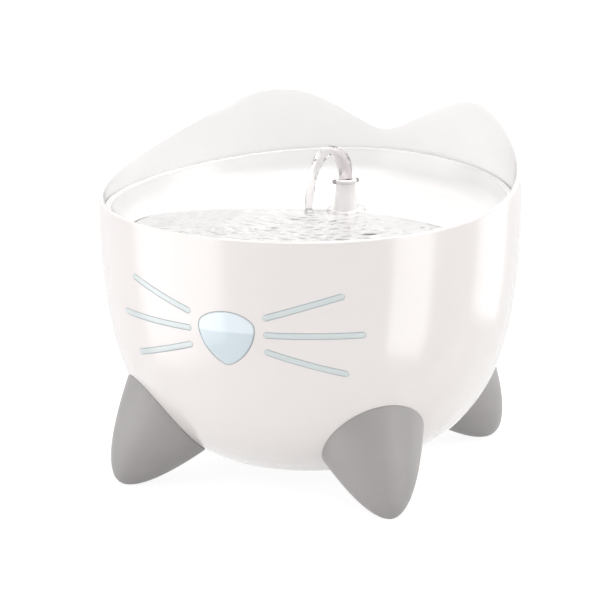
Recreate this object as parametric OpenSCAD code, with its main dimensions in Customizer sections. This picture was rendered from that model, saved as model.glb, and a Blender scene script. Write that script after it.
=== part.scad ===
// Pet water fountain: a bowl on four soft feet whose rim rises into two ears,
// a drop-in drinking tray with a spout, a filter under it and a pump below.
// Origin on the ground under the middle of the bowl, front at -Y, up is +Z.

/* [Bowl] */
// Largest radius of the bowl
body_r = 115; // [110:0.5:125]
// Height of the front rim above the ground
rim_z = 149.95; // [146:0.05:156]
// Radius of the flat underside
base_r = 57.3; // [54:0.1:60]
// Height of the underside above the ground
base_z = 12.3; // [11.5:0.1:13.5]
// Rise angle of the bowl where it leaves the underside
base_slope = 28.9; // [25:0.1:32]
// Height that the round of the shoulder aims at
shoulder_z = 40.1; // [37:0.1:43]
// Wall thickness below the tray
wall = 2.4; // [2:0.1:2.8]
// How far the ears lean in at their tips
ear_lean = 1.6; // [1:0.1:2]
// Height of the ears above the front rim
ear_h = 43.65; // [38:0.05:50]
// Height of the dip between the ears above the front rim
dip_h = 21.35; // [16:0.05:26]
// Sideways distance from the middle to where an ear is full height
ear_x = 57.4; // [52:0.1:62]
// Distance behind the middle at which the ears are full height
ear_y = 99.2; // [94:0.1:102]

/* [Feet] */
// Distance of a front foot's tip from the middle
foot_front_r = 111.9; // [108:0.1:114]
// Angle of the front feet from straight ahead
foot_front_a = 45.2; // [40:0.1:50]
// Distance of a rear foot's tip from the middle
foot_rear_r = 118.7; // [114:0.1:120]
// Angle of the rear feet from straight ahead
foot_rear_a = 139.5; // [134:0.5:145]
// Lean of a foot's axis towards the middle
foot_lean = 39.6; // [37:0.1:42]
// Radius of a foot 40 mm up its axis
foot_r = 26.9; // [24:0.1:29]
// Height of the round tip's centre line end above the ground
foot_tip_z = 1.44; // [1.2:0.02:1.8]
// Radius of the peg that a foot is pressed on
peg_r = 5; // [4:0.1:6]
// How far the peg reaches into the foot
peg_l = 8; // [6:0.5:10]

/* [Face] */
// Width of the nose lens opening
nose_w = 31.6; // [28:0.2:34]
// Height of the nose lens opening
nose_h = 29.4; // [26:0.2:32]
// Height of the nose above the ground
nose_z = 98.8; // [96:0.2:101]
// How triangular the nose is
nose_point = 1.45; // [0.8:0.01:1.5]
// How much tighter the nose's lower corner is than the upper two
nose_tip = 0.15; // [0:0.01:0.16]
// Radius of the lens dome
nose_dome_r = 70; // [50:1:90]
// How far the dome stands proud of the bowl
nose_proud = 1.4; // [1:0.1:2]
// Width of the whisker bars
whisker_w = 3.2; // [2.6:0.1:3.6]
// Sideways start of the whiskers
whisker_in = 20.2; // [20.2:0.1:22]
// Sideways end of the upper and lower whiskers
whisker_out = 59.2; // [52:0.1:64]
// Sideways end of the middle whisker
whisker_mid_out = 67.8; // [60:0.1:70]
// Height of the middle whisker above the nose centre
whisker_up = 2; // [0:0.1:3]
// Spread of the whiskers at their inner ends
whisker_near = 8.8; // [8:0.1:10]
// Spread of the whiskers at their outer ends
whisker_far = 21.3; // [18:0.1:23]

/* [Drinking tray] */
// Depth of the ledge that carries the tray below the front rim
ledge_drop = 10.75; // [9:0.05:12]
// Radius of the ledge's inner edge
ledge_r = 109; // [107.5:0.1:109.4]
// Forward shift of the tray bore, which thickens the wall behind
bore_shift = 0.8; // [0.4:0.1:1]
// Gap between the tray and the bowl
tray_gap = 0.5; // [0.4:0.05:0.8]
// Lowest height of the tray's rim below the front rim
tray_rim_low = 3.2; // [2:0.1:4]
// Rise of the tray's rim towards the back
tray_rim_rise = 12.2; // [9:0.1:15]
// Thickness of the dish
dish_t = 2.2; // [1.8:0.1:2.6]
// Width of the tray's rim at the sides
dish_rim_w = 3.9; // [3.4:0.1:5]
// Forward tilt of the dish
dish_tilt = 4.5; // [3.5:0.1:5.5]
// Radius of the dish's shallow floor
dish_crown = 830; // [700:10:1000]
// Radius of the round between floor and wall
dish_fillet = 14; // [10:0.5:16]
// Slope of the dish's wall
dish_slope = 68; // [62:1:74]
// Height of the dish's middle below the front rim
dish_drop = 22.15; // [21:0.05:23]
// Radius of the drain well's lower bore
well_r = 8.9; // [8.7:0.1:9.3]
// Height of the drain well's bottom below its seat
well_l = 7.8; // [7:0.1:9]

/* [Spout] */
// Distance of the spout behind the middle
spout_y = 52; // [48:0.5:55]
// Radius of the stem at its foot
stem_r = 6.7; // [6.5:0.05:7]
// Radius of the stem at its neck
neck_r = 5.5; // [5.2:0.05:5.8]
// Height of the stem's top above the seat of its flange
stem_h = 18.5; // [17:0.1:21]
// Radius of the flange
flange_r = 10.5; // [10.3:0.1:10.8]
// Radius of the nozzle's collar
collar_r = 6.25; // [6:0.05:6.8]
// Height of the nozzle's collar
collar_h = 2.6; // [2:0.1:3.2]
// Radius of the water way through the nozzle
jet_r = 3.6; // [3.2:0.05:3.7]
// Depth of the nozzle's socket
socket_l = 4.5; // [4:0.1:5.5]
// Radius of the drain notches in the flange
notch_r = 1.4; // [1.2:0.1:1.5]
// Thickness of the O-ring
seal_d = 1.5; // [1.2:0.1:1.6]

/* [Filter] */
// Radius of the filter basket
basket_r = 31; // [27:0.5:34]
// Wall of the filter basket
basket_t = 1.6; // [1.2:0.1:2]
// Height of the filter basket
basket_h = 27; // [24:0.5:28]
// Thickness of the foam pad
foam_t = 9; // [6:0.5:9]
// Thickness of the carbon pad
carbon_t = 9.8; // [6:0.2:9.8]
// Thickness of the fleece pad
fleece_t = 5.8; // [3:0.2:5.8]
// Thickness of the lid
lid_t = 2; // [1.6:0.1:2.4]
// Height of the lid's collar
lid_collar_h = 5; // [4:0.1:5.5]

/* [Pump] */
// Width of the pump housing
pump_w = 35; // [34:0.2:38]
// Height of the pump housing
pump_h = 34.5; // [34:0.1:38]
// Length of the pump's motor block
pump_l = 36; // [36:0.5:40]
// Wall of the pump housing
pump_t = 1.6; // [1.4:0.1:1.8]
// Height of the rotor axis above the pump's underside
axis_h = 20.5; // [20.2:0.1:21]
// Radius of the pump chamber
chamber_r = 14.4; // [14.2:0.1:15]
// Depth of the pump chamber
chamber_l = 13; // [13:0.1:14.5]
// Radius of the rotor bore
can_r = 6.2; // [6:0.05:6.4]
// Radius of the shaft
shaft_r = 1; // [0.8:0.05:1.2]
// Radius of the impeller
impeller_r = 12; // [10:0.2:12.6]
// Number of impeller blades
blades = 6; // [4:1:8]
// Outer radius of the riser tube
riser_r = 5; // [4.8:0.05:5.1]
// Wall of the riser tube
riser_t = 1.1; // [0.9:0.05:1.2]
// Height of the suction cups
cup_h = 4.3; // [4:0.1:5]
// Radius of the suction cups
cup_r = 7; // [6:0.1:7.4]
// Width of an intake slot
slot_w = 3; // [2:0.1:3]
// Radius of the lamp
lamp_r = 2.4; // [2:0.1:2.5]
// Radius of the cable port's bore
port_r = 3.5; // [2.5:0.1:4]
// Height of the cable port below the tray's ledge
port_drop = 16; // [15:0.5:20]

/* [Clearances] */
// Play around lenses, pegs and other fixed fits
fit_gap = 0.15; // [0.1:0.01:0.2]
// Radial play of turning and sliding fits
run_gap = 0.05; // [0.03:0.01:0.08]
// Play between parts that lift apart
free_gap = 0.3; // [0.2:0.02:0.35]
// Gap under parts that sit on a seat
seat_gap = 0.08; // [0.04:0.01:0.1]

/* [Hidden] */
$fn = 96;

// Curves: a cubic through four control points, and its offset along the normal
function cubic(p, t) = pow(1 - t, 3) * p[0] + 3 * pow(1 - t, 2) * t * p[1]
    + 3 * (1 - t) * t * t * p[2] + t * t * t * p[3];
function slope(p, t) = pow(1 - t, 2) * (p[1] - p[0]) + 2 * (1 - t) * t * (p[2] - p[1])
    + t * t * (p[3] - p[2]);
function inset(p, t, d) = let (s = slope(p, t))
    cubic(p, t) - d * [s[1], -s[0]] / norm(s);

// Bowl profile, from the underside to where it is widest, and on up to the ears
belly_z = rim_z - 0.75;
ear_z = rim_z + ear_h;
base_pull = 30.5;
lower_curve = [[base_r, base_z],
    [base_r + base_pull * cos(base_slope), base_z + base_pull * sin(base_slope)],
    [body_r, shoulder_z], [body_r, belly_z]];
upper_curve = [[body_r, belly_z], [body_r, belly_z + 13],
    [body_r - ear_lean, belly_z + 21], [body_r - ear_lean + 0.2, ear_z + 2]];
steps = 28;
upper_steps = 6;
function lower_pts(d, i0, i1) = [for (i = [i0:i1]) inset(lower_curve, i / steps, d)];
radii = [for (i = [0:steps]) let (p = cubic(lower_curve, i / steps)) [p[1], p[0]]];
function outer_r(z) = lookup(z, radii);

floor_z = inset(lower_curve, 0, wall)[1];
ledge_z = rim_z - ledge_drop;
bore_r = body_r - 2.2 - bore_shift;
tray_r = bore_r - tray_gap;
seat_z = ledge_z + seat_gap;

module outer_solid(d) {
    rotate_extrude($fn = 144)
        polygon(concat([[0, base_z + d + 0.6], [base_r - 6, base_z + d + 0.6],
            [base_r - 5, base_z + d]], lower_pts(d, 0, steps),
            [for (i = [1:upper_steps]) inset(upper_curve, i / upper_steps, d)],
            [[0, ear_z + 2]]));
}

module inner_solid(d) {
    rotate_extrude($fn = 144)
        polygon(concat([[0, floor_z]], lower_pts(d, 0, steps - 1),
            [[outer_r(ledge_z) - d, ledge_z], [0, ledge_z]]));
}

// A skin between two depths under the bowl's outer face, at the height of the face
module skin(d1, d2) {
    rotate_extrude($fn = 144)
        polygon(concat(lower_pts(d1, 16, steps - 1),
            [for (i = [steps - 1:-1:16]) inset(lower_curve, i / steps, d2)]));
}

// A prism along Y, drawn in X and Z, that reaches through the front wall
module to_front() {
    rotate([90, 0, 0])
        translate([0, 0, body_r * 0.6])
            linear_extrude(height = body_r * 0.6)
                children();
}

// A prism along X, drawn in Y and Z
module across() {
    rotate([90, 0, 90])
        linear_extrude(height = 3 * body_r, center = true)
            children();
}

// A cylinder along Y between two places
module along_y(r, x, z, y1, y2) {
    translate([x, y2, z])
        rotate([90, 0, 0])
            cylinder(r = r, h = y2 - y1);
}

// A box given by its two ends on each axis
module box(x, y, z) {
    translate([x[0], y[0], z[0]])
        cube([x[1] - x[0], y[1] - y[0], z[1] - z[0]]);
}

// Rim of the bowl: side view and back view cut it to height
side_curve = [[-body_r, rim_z], [63.7, rim_z + 4.35], [72, ear_z], [ear_y, ear_z]];
dip_curve = [[0, rim_z + dip_h], [12.8, rim_z + dip_h],
    [ear_x - 19, ear_z - 0.15], [ear_x, ear_z - 0.15]];
rim_steps = 20;

module rim_cut() {
    far = 1.5 * body_r;
    across()
        polygon(concat([[-far, 0], [far, 0], [far, ear_z]],
            [for (i = [rim_steps:-1:0]) cubic(side_curve, i / rim_steps)],
            [[-far, rim_z]]));
}

module dip_cut() {
    far = 1.5 * body_r;
    rotate([90, 0, 0])
        linear_extrude(height = 3 * body_r, center = true)
            polygon(concat([[-far, 0], [far, 0], [far, ear_z - 0.15]],
                [for (i = [12:-1:1]) cubic(dip_curve, i / 12)],
                [for (i = [0:12]) let (p = cubic(dip_curve, i / 12)) [-p[0], p[1]]],
                [[-far, ear_z - 0.15]]));
}

// Nose outline, a rounded triangle with its point down, grown by e
function nose_pts(e) = [for (i = [0:71]) let (a = 5 * i, b = 3 * (a - 30),
    h = nose_w / 2 + e + nose_point * cos(b) - nose_tip * (1 - cos(4 * a)),
    g = -3 * nose_point * sin(b) - 4 * nose_tip * sin(4 * a))
    [h * cos(a) - g * sin(a), nose_z + (h * sin(a) + g * cos(a)) * nose_h / nose_w]];

module nose_shape(e) {
    to_front()
        polygon(nose_pts(e));
}

module bar(p, q, w) {
    l = norm(q - p) - whisker_w;
    translate((p + q) / 2)
        rotate(atan2(q[1] - p[1], q[0] - p[0])) {
            square([l, w], center = true);
            translate([l / 2, 0])
                circle(d = w, $fn = 24);
            translate([-l / 2, 0])
                circle(d = w, $fn = 24);
        }
}

// The three bars of the right side, w wide
module whisker_bars(w) {
    z = nose_z + whisker_up;
    bar([whisker_in, z + whisker_near], [whisker_out, z + whisker_far], w);
    bar([whisker_in, z], [whisker_mid_out, z], w);
    bar([whisker_in, z - whisker_near], [whisker_out, z - whisker_far], w);
}

// Feet: where a foot's axis meets the bowl, by halving
function meet(r, lo, hi, n) = n == 0 ? lo : let (m = (lo + hi) / 2)
    r - m * sin(foot_lean) > outer_r(foot_tip_z + m * cos(foot_lean))
    ? meet(r, m, hi, n - 1) : meet(r, lo, m, n - 1);

module at_foot(r, a) {
    rotate([0, 0, a])
        translate([0, -r, foot_tip_z])
            rotate([-foot_lean, 0, 0])
                children();
}

module peg(r, a, grow) {
    s = meet(r, 10, 70, 24);
    at_foot(r, a)
        translate([0, 0, s - peg_l - grow])
            cylinder(r = peg_r + grow, h = peg_l + grow + 3.5);
}

module foot(r, a) {
    difference() {
        at_foot(r, a)
            rotate_extrude($fn = 96)
                polygon(concat([[0, 0]],
                    [for (i = [1:14]) let (s = 68 * pow(i / 14, 2.2))
                        [foot_r * pow(s / 40, 0.537), s]],
                    [[0, 68]]));
        outer_solid(-fit_gap);
        peg(r, a, fit_gap);
        translate([-2 * body_r, -2 * body_r, -20])
            cube([4 * body_r, 4 * body_r, 20]);
    }
}

// Cable port in the rear wall
port_z = ledge_z - port_drop;
port_out = outer_r(port_z) - 0.4;
port_in = port_out - wall - 0.5;
port_neck = port_r + 1.8;

module reservoir_bowl() {
    color("#F4F3F2")
        difference() {
            union() {
                intersection() {
                    difference() {
                        outer_solid(0);
                        inner_solid(wall);
                        translate([0, -bore_shift, ledge_z - 0.01])
                            cylinder(r = bore_r, h = ear_z, $fn = 144);
                    }
                    rim_cut();
                    dip_cut();
                }
                rotate_extrude($fn = 144)
                    polygon([[ledge_r, ledge_z], [ledge_r, ledge_z - 2.5],
                        [body_r - 1.5, ledge_z - 9], [body_r - 1.5, ledge_z]]);
                difference() {
                    union() {
                        peg(foot_front_r, foot_front_a, 0);
                        peg(foot_front_r, -foot_front_a, 0);
                        peg(foot_rear_r, foot_rear_a, 0);
                        peg(foot_rear_r, -foot_rear_a, 0);
                    }
                    inner_solid(wall - 0.1);
                }
                along_y(port_neck + 3, 0, port_z, port_in, port_out - 0.5);
            }
            along_y(port_neck + 2.2, 0, port_z, port_out, body_r + 9);
            along_y(port_neck, 0, port_z, port_in - 9, body_r + 9);
            nose_shape(0);
            to_front() {
                whisker_bars(whisker_w + 2 * fit_gap);
                mirror([1, 0])
                    whisker_bars(whisker_w + 2 * fit_gap);
            }
        }
}

lip_t = 0.5;
gasket_t = 0.7;

module nose_lens() {
    t = atan((outer_r(nose_z + 8) - outer_r(nose_z - 8)) / 16);
    c = nose_dome_r - nose_proud;
    color("#CFE2EA") {
        intersection() {
            nose_shape(-lip_t - 2 * run_gap);
            translate([0, -outer_r(nose_z) + c * cos(t), nose_z + c * sin(t)])
                sphere(r = nose_dome_r, $fn = 144);
            skin(-4, wall + gasket_t + 0.9);
        }
        intersection() {
            nose_shape(2.2);
            skin(wall + gasket_t + 2 * run_gap, wall + gasket_t + 1.7);
        }
    }
}

module nose_gasket() {
    color("#5E6A70")
        difference() {
            union() {
                intersection() {
                    nose_shape(2.6);
                    skin(wall + run_gap, wall + run_gap + gasket_t);
                }
                intersection() {
                    nose_shape(-run_gap);
                    skin(-0.1, wall + run_gap + gasket_t);
                }
            }
            nose_shape(-lip_t - run_gap);
        }
}

module whisker_lens() {
    z = nose_z + whisker_up;
    x1 = whisker_in - 1.1;
    color("#CFE2EA") {
        intersection() {
            to_front()
                whisker_bars(whisker_w);
            skin(-0.15, wall + 0.8);
        }
        intersection() {
            to_front()
                polygon([[x1, z - whisker_near - 3], [whisker_out, z - whisker_far - 3],
                    [whisker_mid_out + 3, z - 3], [whisker_mid_out + 3, z + 3],
                    [whisker_out, z + whisker_far + 3], [x1, z + whisker_near + 3]]);
            skin(wall + run_gap, wall + 1.6);
        }
    }
}

module whisker_lens_left() {
    mirror([1, 0, 0])
        whisker_lens();
}

module whisker_lens_right() {
    whisker_lens();
}

module foot_front_left() {
    color("#9C9A9A")
        foot(foot_front_r, -foot_front_a);
}

module foot_front_right() {
    color("#9C9A9A")
        foot(foot_front_r, foot_front_a);
}

module foot_rear_left() {
    color("#9C9A9A")
        foot(foot_rear_r, -foot_rear_a);
}

module foot_rear_right() {
    color("#9C9A9A")
        foot(foot_rear_r, foot_rear_a);
}

module cable_grommet() {
    color("#B9B8B8")
        difference() {
            union() {
                along_y(port_neck - run_gap, 0, port_z, port_in - 1, port_out + 1);
                along_y(port_neck + 1.7, 0, port_z, port_in - 1.6, port_in - run_gap);
                along_y(port_neck + 1.7, 0, port_z, port_out + run_gap, port_out + 1.1);
            }
            along_y(port_r, 0, port_z, port_in - 9, port_out + 9);
        }
}

// Dish: a shallow floor, a round and a sloping wall, in the dish's own tilted frame
dish_z = rim_z - dish_drop;
dish_shift = 2.22;
round_r = tray_r - dish_rim_w - dish_fillet * sin(dish_slope) - 2.4;
round_a = asin(round_r / (dish_crown - dish_fillet));
round_z = dish_crown - (dish_crown - dish_fillet) * cos(round_a);
function dish_pts(e) = concat(
    [for (i = [0:6]) let (a = round_a * i / 6)
        [(dish_crown + e) * sin(a), dish_crown - (dish_crown + e) * cos(a)]],
    [for (i = [1:8]) let (a = round_a + (dish_slope - round_a) * i / 8)
        [round_r + (dish_fillet + e) * sin(a), round_z - (dish_fillet + e) * cos(a)]],
    [[round_r + (dish_fillet + e) * sin(dish_slope) + 26 * cos(dish_slope),
        round_z - (dish_fillet + e) * cos(dish_slope) + 26 * sin(dish_slope)],
    [0, round_z + 22]]);

module dish_solid(e) {
    translate([0, dish_shift, dish_z])
        rotate([dish_tilt, 0, 0])
            rotate_extrude($fn = 144)
                polygon(dish_pts(e));
}

// The tray's rim is level in front and rises on a large arc behind
rim_low_y = -45.4;
rim_run = tray_r - bore_shift - rim_low_y;
rim_arc = (rim_run * rim_run + tray_rim_rise * tray_rim_rise) / (2 * tray_rim_rise);

module tray_rim_cut() {
    far = 1.2 * body_r;
    z0 = rim_z - tray_rim_low;
    box([-far, far], [-far, far], [z0 - 60, z0]);
    difference() {
        box([-far, far], [rim_low_y, far], [z0 - 60, z0 + 30]);
        translate([-far - 1, rim_low_y, z0 + rim_arc])
            rotate([0, 90, 0])
                cylinder(r = rim_arc, h = 2 * far + 2, $fn = 1800);
    }
}

// Drain well under the spout, around which the filter's lid clips
flange_z = ledge_z - 9.2;
well_z = flange_z - well_l;
well_in = flange_r + free_gap;
well_out = well_r + 1.7;

module at_spout(z) {
    translate([0, spout_y, z])
        children();
}

module drinking_tray() {
    color("#F8F7F6")
        difference() {
            union() {
                intersection() {
                    union() {
                        dish_solid(dish_t);
                        translate([0, -bore_shift, seat_z])
                            difference() {
                                cylinder(r = tray_r, h = 60, $fn = 144);
                                cylinder(r = tray_r - 2, h = 60, $fn = 144);
                            }
                    }
                    tray_rim_cut();
                    union() {
                        cylinder(r = ledge_r - 0.4, h = seat_z + 0.01, $fn = 144);
                        translate([0, -bore_shift, seat_z])
                            cylinder(r = tray_r, h = 60, $fn = 144);
                    }
                }
                at_spout(flange_z - 1.6)
                    cylinder(r = well_in + 1.6, h = 6);
                at_spout(well_z)
                    cylinder(r = well_out, h = well_l);
            }
            dish_solid(0);
            at_spout(flange_z)
                cylinder(r = well_in, h = 20);
            at_spout(well_z - 1)
                cylinder(r = well_r, h = 20);
        }
}

stem_z0 = well_z + 0.4;
stem_z1 = flange_z + stem_h;
socket_r = jet_r + 0.7;
bore_top = stem_z1 - socket_l - 4;
seal_z = flange_z - 3;
sleeve_r = riser_r + 2.4;

module spout_stem() {
    color("#F2EFEF")
        difference() {
            union() {
                difference() {
                    at_spout(flange_z + seat_gap)
                        cylinder(r = flange_r, h = 8);
                    dish_solid(0);
                    for (i = [0:7])
                        at_spout(flange_z - 1)
                            rotate([0, 0, 22.5 + 45 * i])
                                translate([flange_r - notch_r + 0.1, 0, 0])
                                    cylinder(r = notch_r, h = 12, $fn = 24);
                }
                at_spout(stem_z0)
                    cylinder(r = sleeve_r, h = flange_z + 1 - stem_z0);
                at_spout(0)
                    rotate_extrude()
                        polygon(concat([[0, flange_z]],
                            [for (i = [0:8]) let (z0 = flange_z + 3.5)
                                [neck_r + (stem_r - neck_r) * (1 + cos(22.5 * i)) / 2,
                                i == 0 ? flange_z : z0 + (stem_z1 - 1.5 - z0) * i / 8]],
                            [[neck_r, stem_z1], [0, stem_z1]]));
            }
            at_spout(stem_z0 - 1)
                cylinder(r = riser_r + run_gap, h = bore_top + 1 - stem_z0);
            at_spout(stem_z0)
                cylinder(r = jet_r, h = 60);
            at_spout(stem_z1 - socket_l)
                cylinder(r = socket_r, h = 20);
            at_spout(seal_z - seal_d / 2 - run_gap)
                cylinder(r = riser_r + seal_d + 2 * run_gap, h = seal_d + 2 * run_gap);
        }
}

module spout_seal() {
    color("#3A3C3E")
        at_spout(seal_z)
            rotate_extrude()
                translate([riser_r + run_gap + seal_d / 2, 0])
                    circle(d = seal_d, $fn = 24);
}

module spout_nozzle() {
    z0 = stem_z1 + seat_gap;
    color("#E9E6E6")
        difference() {
            union() {
                at_spout(stem_z1 - socket_l + 0.3)
                    cylinder(r = socket_r - run_gap, h = socket_l);
                at_spout(z0)
                    cylinder(r = collar_r, h = collar_h);
                for (a = [46, 226])
                    at_spout(z0 + collar_h / 2)
                        rotate([0, 0, a])
                            translate([collar_r + 0.6, 0, 0])
                                rotate([90, 0, 0])
                                    difference() {
                                        cylinder(r = 1.2, h = 1, center = true, $fn = 24);
                                        cylinder(r = 0.5, h = 2, center = true, $fn = 24);
                                    }
            }
            at_spout(stem_z1 - 20)
                cylinder(r = jet_r, h = 60);
        }
}

// Filter: basket and lid hang from the drain well, with three pads inside
lid_z = well_z - 2;
basket_z = lid_z - lid_t - basket_h;
sleeve_in = riser_r + free_gap;
sleeve_out = sleeve_in + basket_t;
pad_gap = 0.2;

module filter_basket() {
    color("#DCE0E2")
        difference() {
            union() {
                difference() {
                    at_spout(basket_z)
                        cylinder(r = basket_r, h = basket_h);
                    at_spout(basket_z + basket_t)
                        cylinder(r = basket_r - basket_t, h = basket_h);
                }
                at_spout(basket_z)
                    cylinder(r = sleeve_out, h = basket_h - 2);
            }
            at_spout(basket_z - 1)
                cylinder(r = sleeve_in, h = basket_h + 2);
            for (k = [0:1], i = [0:9 + 6 * k])
                at_spout(basket_z - 1)
                    rotate([0, 0, 360 * i / (10 + 6 * k)])
                        translate([sleeve_out + (basket_r - sleeve_out) * (k + 1) / 3.2, 0, 0])
                            cylinder(r = 1.8, h = basket_t + 2, $fn = 24);
        }
}

module filter_lid() {
    color("#E6EAEC")
        difference() {
            union() {
                at_spout(lid_z - lid_t + seat_gap)
                    cylinder(r = basket_r + 0.6, h = lid_t - seat_gap);
                at_spout(lid_z - 0.5)
                    cylinder(r = well_out + free_gap + 1.5, h = lid_collar_h + 0.5);
            }
            at_spout(lid_z)
                cylinder(r = well_out + free_gap, h = 20);
            at_spout(lid_z - 9)
                cylinder(r = well_r + 0.5, h = 20);
            for (i = [0:9])
                at_spout(lid_z - 9)
                    rotate([0, 0, 18 + 36 * i])
                        translate([well_out + 6, -1.25, 0])
                            cube([basket_r - well_out - 10, 2.5, 20]);
        }
}

module pad(z, t) {
    at_spout(z)
        difference() {
            cylinder(r = basket_r - basket_t - pad_gap, h = t);
            translate([0, 0, -1])
                cylinder(r = sleeve_out + pad_gap, h = t + 2);
        }
}

foam_z = basket_z + basket_t + 0.1;
carbon_z = foam_z + foam_t + 0.1;
fleece_z = carbon_z + carbon_t + 0.1;

module filter_foam() {
    color("#7E8B93")
        pad(foam_z, foam_t);
}

module filter_carbon() {
    color("#4A4C4E")
        pad(carbon_z, carbon_t);
}

module filter_fleece() {
    color("#EDEDEB")
        pad(fleece_z, fleece_t);
}

// Pump: motor block in front, chamber and intake behind, riser over the chamber
pump_z = floor_z + cup_h;
axis_z = pump_z + axis_h;
y_cover = spout_y + 5;
y_back = y_cover - chamber_l;
y_open = y_back - pump_l;
y_can = y_open + 7;
cup_x = pump_w / 2 - 6.5;
cup_ys = [y_open + 5, y_back - 7];
lamp_z = axis_z + 4;
gland_x = 10;
gland_z = axis_z - 10;
gasket_y = y_open - 0.8;
cap_y = gasket_y - 2.2;
hw = pump_w / 2;
stub_r = riser_r - riser_t - run_gap;
riser_z = axis_z + chamber_r + 2.8;

module at_cups() {
    for (x = [-cup_x, cup_x], y = cup_ys)
        translate([x, y, 0])
            children();
}

module pump_housing() {
    color("#3B4046")
        difference() {
            union() {
                difference() {
                    box([-hw, hw], [y_open, y_back], [pump_z, pump_z + pump_h]);
                    box([pump_t - hw, hw - pump_t], [y_open - 1, y_back - pump_t],
                        [pump_z + pump_t, pump_z + pump_h - pump_t]);
                }
                at_cups()
                    translate([0, 0, pump_z])
                        cylinder(r = 4, h = 5.5);
                along_y(can_r + 1, 0, axis_z, y_can, y_back);
                along_y(chamber_r + 1.6, 0, axis_z, y_back - 0.5, y_cover);
                at_spout(axis_z)
                    cylinder(r = riser_r, h = riser_z - axis_z);
                at_spout(axis_z)
                    cylinder(r = stub_r, h = riser_z - axis_z + 7);
            }
            along_y(chamber_r, 0, axis_z, y_back, y_cover + 1);
            along_y(can_r, 0, axis_z, y_can + 1.2, y_back + 1);
            at_spout(axis_z)
                cylinder(r = stub_r - 1, h = 60);
            at_cups()
                translate([0, 0, pump_z - 1])
                    cylinder(r = 2.3, h = 5.2);
        }
}

module pump_end_cap() {
    color("#3B4046")
        difference() {
            box([-hw, hw], [cap_y, gasket_y], [pump_z, pump_z + pump_h]);
            along_y(lamp_r + 0.6, 0, lamp_z, cap_y - 1, y_open);
            along_y(3.2, gland_x, gland_z, cap_y - 1, y_open);
        }
}

module pump_gasket() {
    color("#24282C")
        difference() {
            box([-hw, hw], [gasket_y, y_open], [pump_z, pump_z + pump_h]);
            box([pump_t - hw, hw - pump_t], [gasket_y - 1, y_open + 1],
                [pump_z + pump_t, pump_z + pump_h - pump_t]);
        }
}

core_y = y_can + 5;
core_l = 14;
core_w = 24;
core_leg = 5;
window_w = 14.8;
window_h = 3.6;
core_bottom = pump_z + 6.2;

module stator_core() {
    r = can_r + 1 + run_gap;
    color("#8D9297")
        difference() {
            box([-core_w / 2, core_w / 2], [core_y, core_y + core_l],
                [core_bottom, axis_z + r + 0.7]);
            along_y(r, 0, axis_z, core_y - 1, core_y + core_l + 1);
            box([-window_w / 2, window_w / 2], [core_y - 1, core_y + core_l + 1],
                [core_bottom + core_leg, core_bottom + core_leg + window_h]);
            box([-1, 1], [core_y - 1, core_y + core_l + 1],
                [core_bottom + core_leg + window_h - 0.6, axis_z + 20]);
        }
}

module stator_coil() {
    color("#B4713C")
        difference() {
            box([-6.8, 6.8], [core_y - 2.5, core_y + core_l + 2.5],
                [core_bottom - 2.3, core_bottom + core_leg + 1.9]);
            box([-9, 9], [core_y - run_gap, core_y + core_l + run_gap],
                [core_bottom - run_gap, core_bottom + core_leg + run_gap]);
        }
}

board_y = y_open + 2.5;

module driver_board() {
    color("#2F6B45") {
        box([pump_t + 0.2 - hw, hw - pump_t - 0.2], [board_y, board_y + 1.6],
            [pump_z + 6, pump_z + pump_h - 2.5]);
        box([-12, -4], [board_y + 1.5, board_y + 3.6], [axis_z + 3, axis_z + 9]);
        box([4, 12], [board_y - 1.2, board_y + 0.1], [axis_z - 2, axis_z + 4]);
    }
}

module night_lamp() {
    color("#F4F1D8") {
        along_y(lamp_r, 0, lamp_z, cap_y + 0.6, board_y - run_gap);
        along_y(lamp_r + 0.5, 0, lamp_z, board_y - 1, board_y - run_gap);
    }
}

module lamp_lens() {
    color("#D8E6EC")
        difference() {
            union() {
                along_y(lamp_r + 0.5, 0, lamp_z, cap_y - 0.8, gasket_y + 0.2);
                along_y(lamp_r + 1.6, 0, lamp_z, gasket_y + run_gap, gasket_y + 0.8);
            }
            along_y(lamp_r + 0.1, 0, lamp_z, cap_y + 0.4, y_open + 1);
        }
}

module rotor_shaft() {
    color("#E4E4E0")
        along_y(shaft_r, 0, axis_z, y_can + 1.3, y_cover + 0.8);
}

module rear_bush() {
    color("#24282C")
        difference() {
            along_y(can_r - run_gap, 0, axis_z, y_can + 1.25, y_can + 3);
            along_y(shaft_r + 0.02, 0, axis_z, y_can, y_can + 9);
        }
}

module cable_gland() {
    color("#2B2F33")
        difference() {
            union() {
                along_y(3.2 - run_gap, gland_x, gland_z, cap_y - 9, gasket_y + 1);
                along_y(4.6, gland_x, gland_z, cap_y - 2, cap_y - run_gap);
                along_y(4.6, gland_x, gland_z, gasket_y + run_gap, gasket_y + 1.2);
            }
            along_y(1.7, gland_x, gland_z, cap_y - 20, y_open + 5);
        }
}

module suction_cups() {
    z = floor_z + seat_gap;
    color("#6E7376")
        at_cups()
            rotate_extrude()
                polygon([[0, z + 1.9], [cup_r - 3.6, z + 1.4], [cup_r - 0.5, z], [cup_r, z],
                    [cup_r - 0.3, z + 0.6], [3.4, z + 2.9], [3.4, pump_z - seat_gap],
                    [2.3 - run_gap, pump_z - seat_gap], [2.3 - run_gap, pump_z + 4],
                    [0, pump_z + 4]]);
}

module riser_tube() {
    color("#DDE3E6")
        at_spout(riser_z + run_gap)
            difference() {
                cylinder(r = riser_r, h = bore_top - 0.3 - riser_z);
                translate([0, 0, -1])
                    cylinder(r = riser_r - riser_t, h = 200);
            }
}

// Rotor: magnet in the can, impeller in the chamber, both on the fixed shaft
magnet_end = y_back + 2;

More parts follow.
